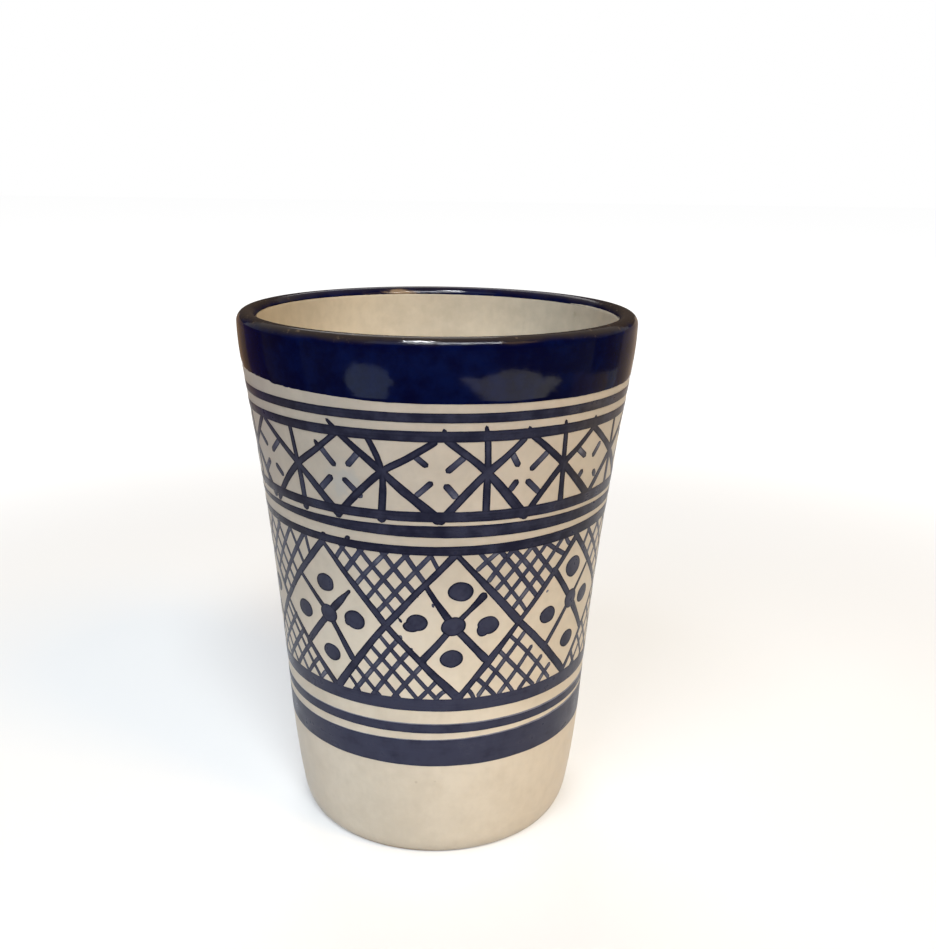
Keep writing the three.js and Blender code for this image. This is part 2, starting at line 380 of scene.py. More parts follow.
def steps(first: float, last: float, longest: float) -> list[float]:
    """Divides a length into even steps no longer than longest, both ends included."""
    count = max(1, math.ceil(abs(last - first) / longest))
    return [first + (last - first) * i / count for i in range(count + 1)]


def spread(values: Sequence[float], count: int) -> list[float]:
    """Spreads a few values evenly over count points, straight from each value to the next.

    Args:
        values: The values.
        count: How many points there are.

    Returns:
        One value for each point.
    """
    last = len(values) - 1
    found = []
    for i in range(count):
        spot = last * i / max(1, count - 1)
        k = int(spot)
        found.append(values[k] + (values[min(k + 1, last)] - values[k]) * (spot % 1))
    return found


def between(first: Spot, last: Spot, share: float, raised: float = 0.0) -> Spot:
    """Returns the spot a share of the way from one to another, raised by some millimetres."""
    angle, z = (a + (b - a) * share for a, b in zip(first, last))
    return angle, z + raised


def ease(share: float) -> float:
    """Eases a share in and out, from 0 to 1."""
    return share * share * (3 - 2 * share)


def arch(share: float) -> float:
    """Returns 0 at both ends of a line and 1 at its middle."""
    return 4 * share * (1 - share)


@dataclass(frozen=True)
class ThrownWall:
    """The turned shape of the cup, in millimetres, by the same rule as the solids."""

    height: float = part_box("rim_glaze")[1].z / MM
    belly_radius: float = 31.4
    straight_flare: float = 3.6
    curved_flare: float = 6.75
    lip_tuck: float = 0.9
    lip_tuck_depth: float = 10.0
    foot_tuck: float = 1.9
    tuck_height: float = 24.0
    foot_round_width: float = 1.3
    foot_round_height: float = 4.5
    lip_wall: float = 4.0
    foot_wall: float = 5.0
    floor: float = 6.5
    floor_step: float = 2.0
    inner_corner: float = 9.0

    @property
    def lip_centre(self) -> float:
        """Height of the middle of the half-round lip."""
        return self.height - self.lip_wall / 2

    def outer(self, z: float) -> float:
        """Works out the outside wall.

        Args:
            z: The height.

        Returns:
            The radius there.
        """
        share = z / self.height
        tuck = max(0.0, 1 - z / self.tuck_height)
        lip = max(0.0, 1 - (self.height - z) / self.lip_tuck_depth)
        turn = max(0.0, 1 - z / self.foot_round_height)
        radius = self.belly_radius + self.straight_flare * share + self.curved_flare * share * share
        radius -= self.foot_tuck * tuck * tuck + self.lip_tuck * lip * lip
        return radius - self.foot_round_width * (1 - math.sqrt(1 - turn * turn))

    def inner(self, z: float) -> float:
        """Returns the inside radius at a height."""
        thicker = (self.foot_wall - self.lip_wall) * (self.lip_centre - z) / self.lip_centre
        return self.outer(z) - self.lip_wall - thicker

    def outside(self, top: float, bottom: float, step: float, depth: float = 0.0) -> list[Spot]:
        """Returns points down the outside, depth below its surface."""
        return [(self.outer(z) - depth, z) for z in steps(top, bottom, step)]

    def inside(self, bottom: float, top: float, step: float, depth: float = 0.0) -> list[Spot]:
        """Returns points up the inside above the corner, depth below its surface."""
        return [(self.inner(z) + depth, z) for z in steps(bottom, top, step)]

    def lip(self, first: float, last: float, count: int, depth: float = 0.0) -> list[Spot]:
        """Lays points on the half-round lip.

        Args:
            first: Where they start, as a share: 0 is the lip's outside and 1 its inside.
            last: Where they end.
            count: How many steps there are.
            depth: How far below the surface they lie.

        Returns:
            The points.
        """
        radius = self.lip_wall / 2 - depth
        middle = self.outer(self.lip_centre) - self.lip_wall / 2
        turns = [math.pi * (first + (last - first) * i / count) for i in range(count + 1)]
        return self.arc((middle, self.lip_centre), radius, turns)

    def bowl(self, count: int, depth: float = 0.0) -> list[Spot]:
        """Lays points from the middle of the inside floor out and up its rounded corner.

        Args:
            count: How many steps the corner has.
            depth: How far below the surface they lie.

        Returns:
            The points.
        """
        centre_z = self.floor + self.inner_corner
        centre_r = self.inner(centre_z) - self.inner_corner
        radius = self.inner_corner + depth
        floor = [(r, self.floor - depth) for r in steps(0.0, centre_r, self.floor_step)][:-1]
        turns = [-math.pi / 2 + math.pi / 2 * i / count for i in range(count + 1)]
        return floor + self.arc((centre_r, centre_z), radius, turns)

    @staticmethod
    def arc(centre: Spot, radius: float, turns: Sequence[float]) -> list[Spot]:
        """Returns the points at some turns round a centre."""
        return [(centre[0] + radius * math.cos(t), centre[1] + radius * math.sin(t)) for t in turns]


WALL = ThrownWall()


@dataclass
class TurnedShells:
    """The clay body and its three glaze coats, each one profile turned round the axis."""

    segments: int = 288
    path_radius: float = 20.0
    weld: float = 1e-6
    crease: float = math.radians(50)
    wall_step: float = 0.8
    lip_step: float = 0.5
    foot_step: float = 0.12
    dish_step: float = 1.5
    hidden_step: float = 8.0
    lip_count: int = 28
    coat: float = 0.38
    body_gap: float = 0.04
    bare_foot: float = 0.45
    clay_steps_out: Spot = (1.4, 0.4)
    foot_inset: float = 0.14
    foot_edge: tuple[Triple, ...] = ((-0.03, 0.12, 0.4), (-0.16, -0.02, 0.4), (-0.30, 0.05, 0.4))
    cobalt_edge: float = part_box("rim_glaze")[0].z / MM
    lap: float = 2.5
    lap_proud: float = 0.05
    lap_gap: float = 0.012
    inner_edge: float = 0.93
    inner_pull: float = 0.5
    lining_end: float = 0.84
    dish_radius: float = 17.0
    dish_slope: float = 3.0
    dish_depth: float = 0.9
    sway: float = 0.30
    sway_scale: float = 1.1
    sway_rise: float = 26.0
    throwing_rings: float = 0.05
    ring_turn: float = 0.35
    ring_rise: float = 210.0
    still_centre: Spot = (2 * MM, 16 * MM)
    still_foot: Spot = (0.4 * MM, 3 * MM)
    edge_tilt: float = -0.52
    edge_wave: float = 0.28
    wave_scale: float = 2.2
    fray_scale: float = 26.0
    fray_share: float = 0.55
    tree: ShapeTree = field(init=False)

    def __post_init__(self) -> None:
        """Builds the tree that turns a profile."""
        self.tree = self.turning_tree()

    def turning_tree(self) -> ShapeTree:
        """Builds the tree: turn a profile on a circle, weld its poles, sway it, waver its edges.

        Returns:
            The tree.
        """
        g = ShapeTree("turned_shell")
        segments, radius = g.ask("Segments", "NodeSocketInt"), g.ask("Path Radius")
        sway, rings = g.ask("Sway"), g.ask("Throwing Rings")
        tilt, wave = g.ask("Edge Tilt"), g.ask("Edge Wave")
        material = g.ask("Material", "NodeSocketMaterial")
        profile = g.add("GeometryNodeMeshToCurve", {"Mesh": g.shape}).outputs[0]
        path = {"Curve": g.circle(segments, radius)}
        path = g.add("GeometryNodeSetCurveNormal", path, mode="Z_UP").outputs[0]
        turned = {"Curve": path, "Profile Curve": profile}
        shell = g.add("GeometryNodeCurveToMesh", turned).outputs[0]
        welded = {"Geometry": shell, "Distance": self.weld}
        shell = g.add("GeometryNodeMergeByDistance", welded).outputs[0]
        x, y, z = g.split(g.position())
        flat = g.combine(x, y)
        outward = g.vector("NORMALIZE", flat)
        side = g.split(outward)
        round_wall = g.combine(side[0], side[1], g.math("MULTIPLY", z, self.sway_rise))
        bend = g.math("MULTIPLY", g.waver(round_wall, self.sway_scale, 1.0), sway)
        ring_place = g.combine(
            g.math("MULTIPLY", side[0], self.ring_turn),
            g.math("MULTIPLY", side[1], self.ring_turn),
            g.math("MULTIPLY", z, self.ring_rise),
        )
        ring = g.math("MULTIPLY", g.waver(ring_place, 1.0, 1.0), rings)
        amount = g.math("ADD", bend, ring)
        for reach, still in ((g.length(flat), self.still_centre), (z, self.still_foot)):
            amount = g.math("MULTIPLY", amount, g.ramp(reach, *still))
        shell = g.shift(shell, g.scaled(outward, amount))
        fray = g.math("MULTIPLY", g.waver(outward, self.fray_scale, 2.0), self.fray_share)
        waver = g.math("ADD", g.waver(outward, self.wave_scale, 1.0), fray)
        slide = g.math("ADD", g.math("MULTIPLY", side[0], tilt), g.math("MULTIPLY", waver, wave))
        shell = g.shift(shell, g.combine(z=g.math("MULTIPLY", slide, g.named("pull"))))
        g.dress(shell, material, self.crease)
        return g

    def turn(self, name: str, profile: Sequence[tuple[float, ...]], closed: bool,
             material: Material) -> Object:
        """Turns one profile into a shell.

        Args:
            name: The piece's name.
            profile: Points of radius, height and, for a wavering edge, how far it pulls them.
            closed: Whether the profile is a loop; otherwise it starts and ends on the axis.
            material: The shell's finish.

        Returns:
            The piece.
        """
        points = [((p[0] - self.path_radius) * MM, -p[1] * MM, 0.0) for p in profile]
        mesh = wire(name, [points], closed)
        note(mesh, "pull", [p[2] if len(p) > 2 else 0.0 for p in profile])
        values = {
            "Segments": self.segments,
            "Path Radius": self.path_radius * MM,
            "Sway": self.sway * MM,
            "Throwing Rings": self.throwing_rings * MM,
            "Edge Tilt": self.edge_tilt * MM,
            "Edge Wave": self.edge_wave * MM,
            "Material": material,
        }
        return self.tree.grow(name, mesh, values)

    def clay(self, material: Material) -> Object:
        """Turns the clay body, bare at the foot and dished under it.

        Args:
            material: Its finish.

        Returns:
            The piece.
        """
        depth = self.coat + self.body_gap
        corner_top = WALL.floor + WALL.inner_corner
        glazed_end, bare_start = (self.bare_foot + rise for rise in self.clay_steps_out)
        # Up the inside, over the lip, down the outside, then the bare foot and the dish under it.
        profile = WALL.bowl(6, depth)
        profile += WALL.inside(corner_top, WALL.lip_centre, self.hidden_step, depth)[1:-1]
        profile += WALL.lip(1.0, 0.0, 8, depth)
        profile += WALL.outside(WALL.lip_centre, glazed_end, self.hidden_step, depth)[1:]
        profile += WALL.outside(bare_start, 0.0, self.foot_step, self.foot_inset)
        foot = WALL.outer(0.0) - self.foot_inset
        dish_edge = self.dish_radius + self.dish_slope
        profile += [(r, 0.0) for r in steps(foot, dish_edge, self.wall_step)][1:-1]
        for share in steps(0.0, 1.0, 0.125):
            radius = self.dish_radius + self.dish_slope * (1 - share)
            profile.append((radius, self.dish_depth * ease(share)))
        profile += [(r, self.dish_depth) for r in steps(self.dish_radius, 0.0, self.dish_step)][1:]
        return self.turn("body_of_thrown_clay", profile, False, material)

    def outside(self, material: Material) -> Object:
        """Turns the cream coat on the outer wall, from its edge above the foot to under the cobalt.

        Args:
            material: Its finish.

        Returns:
            The piece.
        """
        top = self.cobalt_edge + self.lap
        profile = WALL.outside(top, self.bare_foot + 0.35, self.wall_step)
        radius = WALL.outer(self.bare_foot)
        profile += [(radius + r, self.bare_foot + z, pull) for r, z, pull in self.foot_edge]
        back = WALL.outside(self.bare_foot + 0.9, top, self.hidden_step, self.coat)
        return self.turn("outside_coat_of_cream_glaze", profile + back, True, material)

    def lining(self, material: Material) -> Object:
        """Turns the cream coat of the inside, floor and all.

        Args:
            material: Its finish.

        Returns:
            The piece.
        """
        corner_top = WALL.floor + WALL.inner_corner
        profile = WALL.bowl(18)
        profile += WALL.inside(corner_top, WALL.lip_centre, self.wall_step)[1:-1]
        profile += WALL.lip(1.0, self.lining_end, 5)
        back = WALL.lip(self.lining_end, 1.0, 3, self.coat)
        back += WALL.inside(WALL.lip_centre, corner_top, self.hidden_step, self.coat)[1:]
        back += list(reversed(WALL.bowl(6, self.coat)))[1:]
        return self.turn("inside_coat_of_cream_glaze", profile + back, False, material)

    def rim(self, material: Material) -> Object:
        """Turns the cobalt coat over the lip, lapping the cream on both sides with wavering edges.

        Args:
            material: Its finish.

        Returns:
            The piece.
        """
        edge, top = self.cobalt_edge, self.cobalt_edge + self.lap
        proud, gap = self.lap_proud, self.lap_gap
        edge_radius = WALL.outer(edge)

        def pull(z: float) -> float:
            """Eases the outer edge's waver to nothing above the lap."""
            return ease(min(1.0, max(0.0, (top - z) / self.lap)))

        # Over the lip and down the outside, round the lower edge, then up behind the coat again.
        inner = WALL.lip(self.inner_edge - 0.015, 0.0, self.lip_count, -proud)
        profile = [(r, z, self.inner_pull * max(0.0, 1 - i / 3)) for i, (r, z) in enumerate(inner)]
        outer = WALL.outside(WALL.lip_centre, edge + 0.14, self.lip_step, -proud)[1:]
        profile += [(r, z, pull(z)) for r, z in outer]
        profile.append((edge_radius + proud * 0.6, edge + 0.03, 1.0))
        profile.append((edge_radius + gap, edge - 0.04, 1.0))
        profile += [(WALL.outer(z) + gap, z, pull(z)) for z in steps(edge + 0.5, top, 0.7)]
        profile += WALL.outside(top + 0.05, WALL.lip_centre, 2.5, self.coat)
        profile += WALL.lip(0.0, self.lining_end - 0.01, 10, self.coat)[1:]
        under = WALL.lip(self.lining_end - 0.005, self.inner_edge, 4, -gap)
        profile += [(r, z, self.inner_pull * max(0.0, i / 2 - 1)) for i, (r, z) in enumerate(under)]
        return self.turn("cobalt_glaze_over_lip", profile, True, material)


@dataclass(frozen=True)
class Stroke:
    """One pull of the brush through points of angle and height, with widths and inks spread on it.

    Its lift is how far it covers what was painted before it, and its outline how much darker it
    dried at its edge.
    """

    points: tuple[Spot, ...]
    widths: tuple[float, ...]
    inks: tuple[float, ...] = (1.0,)
    overrun: float = 0.0
    lift: float = 0.0
    outline: float = 0.42


@dataclass(frozen=True)
class Daub:
    """One touch of the brush: a round spot of colour."""

    place: Spot
    across: float
    tall: float
    turn: float = 0.0
    ink: float = 1.0


@dataclass
class Brush:
    """What lays strokes and daubs on the outside glaze."""

    wall: Object
    material: Material
    reference: float = 36.0
    thickness: float = 0.02
    sunk: float = 0.003
    showing: float = 0.96
    step: float = 0.3
    section_points: int = 12
    press_scale: float = 240.0
    blunt_end: float = 0.12
    upper_half: float = -1e-7
    ragged: float = 0.07
    lump: float = 0.5
    errors: tuple[tuple[str, float, float], ...] = (
        ("Drift", 95.0, 1.0), ("Ragged", 900.0, 2.0), ("Lump", 310.0, 1.0),
    )
    daub_segments: int = 36
    daub_rings: int = 12
    daub_lift: float = 0.03
    daub_outline: float = 0.38
    crease: float = math.radians(60)
    stroke_tree: ShapeTree = field(init=False)
    daub_tree: ShapeTree = field(init=False)

    def __post_init__(self) -> None:
        """Builds the two trees."""
        self.stroke_tree = self.build_stroke_tree()
        self.daub_tree = self.build_daub_tree()

    def build_stroke_tree(self) -> ShapeTree:
        """Builds the tree that sweeps a flat section along each stroke and wraps it on the wall.

        Returns:
            The tree.
        """
        g = ShapeTree("brush_strokes")
        step, thickness, sunk = g.ask("Step"), g.ask("Thickness"), g.ask("Sunk")
        swelling, points = g.ask("Swell"), g.ask("Section Points", "NodeSocketInt")
        line = g.add("GeometryNodeMeshToCurve", {"Mesh": g.shape}).outputs[0]
        for kind, inputs, setting in (
            ("GeometryNodeCurveSplineType", {}, {"spline_type": "CATMULL_ROM"}),
            ("GeometryNodeResampleCurve", {"Length": step}, {"mode": "LENGTH"}),
            ("GeometryNodeSetCurveNormal", {}, {"mode": "Z_UP"}),
        ):
            line = g.add(kind, {"Curve": line} | inputs, **setting).outputs[0]
        done = g.add("GeometryNodeSplineParameter").outputs["Length"]
        whole = g.add("GeometryNodeSplineLength").outputs["Length"]
        half_width = g.math("MULTIPLY", g.named("width"), 0.5)
        to_end = g.math("MINIMUM", done, g.math("SUBTRACT", whole, done))
        share = g.math("MINIMUM", g.math("DIVIDE", to_end, half_width), 1.0)
        rounded = g.math("SQRT", g.math("MULTIPLY", share, g.math("SUBTRACT", 2.0, share)))
        press = g.waver(g.position(), self.press_scale, 1.0)
        width = g.math("MULTIPLY", half_width, g.math("MULTIPLY_ADD", press, swelling, 1.0))
        radius = g.math("MULTIPLY", width, g.math("MAXIMUM", rounded, self.blunt_end))
        line = g.store(line, "brush_radius", radius)
        line = g.store(line, "along", done)
        section = g.store(g.circle(points, 1.0), "across", g.split(g.position())[0])
        swept = {"Curve": line, "Profile Curve": section, "Scale": g.named("brush_radius")}
        paint = g.add("GeometryNodeCurveToMesh", swept | {"Fill Caps": True}).outputs[0]
        x, y, z = g.split(g.position())
        level = g.math("MULTIPLY", g.math("DIVIDE", z, g.named("brush_radius")), thickness)
        lift = g.math("MULTIPLY", g.named("lift"), g.math("GREATER_THAN", z, self.upper_half))
        raised = g.math("ADD", lift, g.math("SUBTRACT", level, sunk))
        self.settle(g, g.lay(paint, g.combine(x, y, raised)))
        return g

    def build_daub_tree(self) -> ShapeTree:
        """Builds the tree that puts a flattened spot at each point and wraps it on the wall.

        Returns:
            The tree.
        """
        g = ShapeTree("brush_daubs")
        thickness, lift = g.ask("Thickness"), g.ask("Lift")
        points = g.add("GeometryNodeMeshToPoints", {"Mesh": g.shape}).outputs[0]
        ball = {"Segments": self.daub_segments, "Rings": self.daub_rings, "Radius": 1.0}
        spot = g.add("GeometryNodeMeshUVSphere", ball).outputs["Mesh"]
        x, y, _ = g.split(g.position())
        spot = g.store(spot, "across", g.length(g.combine(x, y)))
        turn = g.combine(z=g.named("turn"))
        placed = {
            "Points": points,
            "Instance": spot,
            "Rotation": g.add("FunctionNodeEulerToRotation", {0: turn}).outputs[0],
            "Scale": g.combine(g.named("half_across"), g.named("half_tall"), thickness),
        }
        paint = g.add("GeometryNodeInstanceOnPoints", placed).outputs[0]
        paint = g.add("GeometryNodeRealizeInstances", {"Geometry": paint}).outputs[0]
        paint = g.store(paint, "brush_radius", g.named("half_tall"))
        x, y, z = g.split(g.position())
        upper = g.math("GREATER_THAN", z, self.upper_half)
        self.settle(g, g.lay(paint, g.combine(x, y, g.math("MULTIPLY_ADD", upper, lift, z))))
        return g

    def settle(self, g: ShapeTree, paint: Any) -> None:
        """Ends a tree: moves a flat layout as a hand would, wraps it on the wall and dresses it.

        Lines drift slowly, a spot's outline swells, and edges stray.

        Args:
            g: The tree.
            paint: The flat layout.
        """
        wall, reference = g.ask("Wall", "NodeSocketObject"), g.ask("Reference Radius")
        slow, fine, swell = (
            g.scaled(g.vector("SUBTRACT", g.noise(g.position(), scale, detail).outputs[1], HALF),
                     g.ask(name))
            for name, scale, detail in self.errors
        )
        offset = g.vector("ADD", g.vector("ADD", slow, fine), swell)
        paint = g.shift(paint, g.vector("MULTIPLY", offset, (1.0, 1.0, 0.0)))
        paint = g.wrap_on_wall(paint, g.shape_of(wall), reference)
        g.dress(paint, g.ask("Material", "NodeSocketMaterial"), self.crease)

    def flat(self, spot: Spot) -> Triple:
        """Returns a spot's place on the flat layout, in metres."""
        return math.radians(spot[0]) * self.reference * MM, spot[1] * MM, 0.0

    def line(self, stroke: Stroke) -> list[Vector]:
        """Lays out a stroke, its ends run on by its overrun.

        Args:
            stroke: The stroke.

        Returns:
            Its points on the flat layout.
        """
        points = [Vector(self.flat(p)) for p in stroke.points]
        before = (points[0] - points[1]).normalized()
        after = (points[-1] - points[-2]).normalized()
        points[0] = points[0] + before * stroke.overrun * MM
        points[-1] = points[-1] + after * stroke.overrun * MM
        return points

    def paint(self, name: str, strokes: Sequence[Stroke], hand: Hand = Hand.FREE) -> Object:
        """Paints strokes as one piece.

        Args:
            name: The piece's name.
            strokes: The strokes.
            hand: How the lines are drawn.

        Returns:
            The piece.
        """
        mesh = wire(name, [self.line(s) for s in strokes])
        notes: dict[str, list[float]] = {"width": [], "ink": [], "lift": [], "outline": []}
        for stroke in strokes:
            count = len(stroke.points)
            notes["width"] += [w / self.showing * MM for w in spread(stroke.widths, count)]
            notes["ink"] += spread(stroke.inks, count)
            notes["lift"] += [stroke.lift * MM] * count
            notes["outline"] += [stroke.outline] * count
        for kind, numbers in notes.items():
            note(mesh, kind, numbers)
        values = self.common(hand) | {
            "Lump": 0.0,
            "Swell": hand.swell,
            "Step": self.step * MM,
            "Sunk": self.sunk * MM,
            "Section Points": self.section_points,
        }
        return self.stroke_tree.grow(name, mesh, values)

    def dab(self, name: str, daubs: Sequence[Daub]) -> Object:
        """Paints daubs as one piece.

        Args:
            name: The piece's name.
            daubs: The daubs.

        Returns:
            The piece.
        """
        mesh = wire(name, [[self.flat(d.place)] for d in daubs])
        note(mesh, "half_across", [d.across / 2 * MM for d in daubs])
        note(mesh, "half_tall", [d.tall / 2 * MM for d in daubs])
        note(mesh, "turn", [math.radians(d.turn) for d in daubs])
        note(mesh, "ink", [d.ink for d in daubs])
        note(mesh, "outline", [self.daub_outline] * len(daubs))
        values = {"Lump": self.lump * MM, "Lift": self.daub_lift * MM}
        return self.daub_tree.grow(name, mesh, self.common(Hand.FREE) | values)

    def common(self, hand: Hand) -> dict[str, Any]:
        """Gives the inputs that both trees share.

        Args:
            hand: How the lines are drawn.

        Returns:
            The value of each input.
        """
        return {
            "Wall": self.wall,
            "Reference Radius": self.reference * MM,
            "Thickness": self.thickness * MM,
            "Drift": hand.drift * MM,
            "Ragged": self.ragged * MM,
            "Material": self.material,
        }


@dataclass(frozen=True)
class Ring:
    """A painted ring: how far its edges stray from its solid's, and its ink.

    Each stray is given at the left, the front and the right. The fringe is the pale run above its
    top edge, at the same three places.
    """

    node: str
    top: Triple
    foot: Triple
    ink: float
    fringe: Triple = (0.0, 0.0, 0.0)


@dataclass
class Rings:
    """The eight rings, each one long stroke whose ends overlap somewhere at the back."""

    brush: Brush
    lift_off: float = 186.0
    slip_start: float = 150.0
    swing: float = 55.0
    slip: float = 0.16
    seed: int = 5
    spacing: float = 6.0
    lift: float = 0.045
    outline: float = 0.12
    fringe_ink: float = 0.36
    least_fringe: float = 0.05
    side: float = math.sin(math.radians(50))
    rings: tuple[Ring, ...] = (
        Ring("rim_line", (-0.02, 0.04, -0.2), (-0.02, 0.0, -0.32), 1.38),
        Ring("upper_frieze_top_line", (-0.1, 0.2, -0.14), (-0.14, -0.1, -0.3), 1.4),
        Ring("upper_frieze_foot_line", (0.1, 0.15, 0.12), (0.0, -0.1, -0.4), 1.35),
        Ring("middle_line", (0.0, 0.26, -0.1), (0.36, -0.25, -0.4), 1.35),
        Ring("lower_frieze_top_line", (0.2, -0.1, 0.3), (0.1, -0.4, -0.4), 1.42),
        Ring("lower_frieze_foot_line", (0.2, 0.26, 0.3), (-0.34, -0.12, -0.4), 1.05),
        Ring("thin_line", (-0.05, 0.1, 0.0), (-0.2, 0.04, 0.1), 1.05, (0.2, 0.25, 0.45)),
        Ring("broad_band", (-0.4, 0.15, 0.6), (-0.2, -0.08, -0.15), 1.0, (0.2, 0.3, 0.55)),
    )

    def stray(self, values: Triple, angle: float) -> float:
        """Eases an edge's stray through its left, front and right values.

        Args:
            values: The three values.
            angle: The angle.

        Returns:
            The stray there.
        """
        left, front, right = values
        way = math.sin(math.radians(angle)) / self.side
        return front + (right - left) / 2 * way + ((left + right) / 2 - front) * way * way

    def pull(self, ring: Ring, fringe: bool, middle: float, slip_at_end: float) -> Stroke:
        """Draws a ring.

        Args:
            ring: The ring.
            fringe: Whether it is the pale fringe under the ring that is drawn.
            middle: The angle that lies opposite the ring's ends.
            slip_at_end: How far the ends miss each other upwards.

        Returns:
            The stroke.
        """
        low, high = (corner.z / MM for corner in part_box(ring.node))
        points, widths = [], []
        for angle in steps(middle - self.lift_off, middle + self.lift_off, self.spacing):
            way = angle - middle
            late = max(0.0, abs(way) - self.slip_start) / (self.lift_off - self.slip_start)
            slip = slip_at_end * late * math.copysign(1, way)
            top, foot = high + self.stray(ring.top, angle), low + self.stray(ring.foot, angle)
            if fringe:
                run = max(self.least_fringe, self.stray(ring.fringe, angle))
                top, foot = top + run, (top + foot) / 2
            points.append((angle, (top + foot) / 2 + slip))
            widths.append(top - foot)
        path = tuple(points), tuple(widths)
        if fringe:
            return Stroke(*path, (self.fringe_ink,), outline=0.0)
        return Stroke(*path, (ring.ink,), lift=self.lift, outline=self.outline)

    def build(self) -> None:
        """Paints each ring at its solid's height."""
        draw = random.Random(self.seed)
        for ring in self.rings:
            middle = draw.uniform(-self.swing, self.swing)
            slip = draw.uniform(-self.slip, self.slip)
            layers = (True, False) if any(ring.fringe) else (False,)
            strokes = [self.pull(ring, fringe, middle, slip) for fringe in layers]
            piece = self.brush.paint(f"ring_{ring.node}", strokes, Hand.WHEEL)
            stand_for(piece, Slot.PAINT, ring.node)


@dataclass(frozen=True)
class Cross:
    """A crossed pair of strokes in the upper frieze: its middle, its four ends and its post's."""

    middle: Spot
    upper_left: Spot
    upper_right: Spot
    lower_left: Spot
    lower_right: Spot
    post_top: Spot
    post_foot: Spot


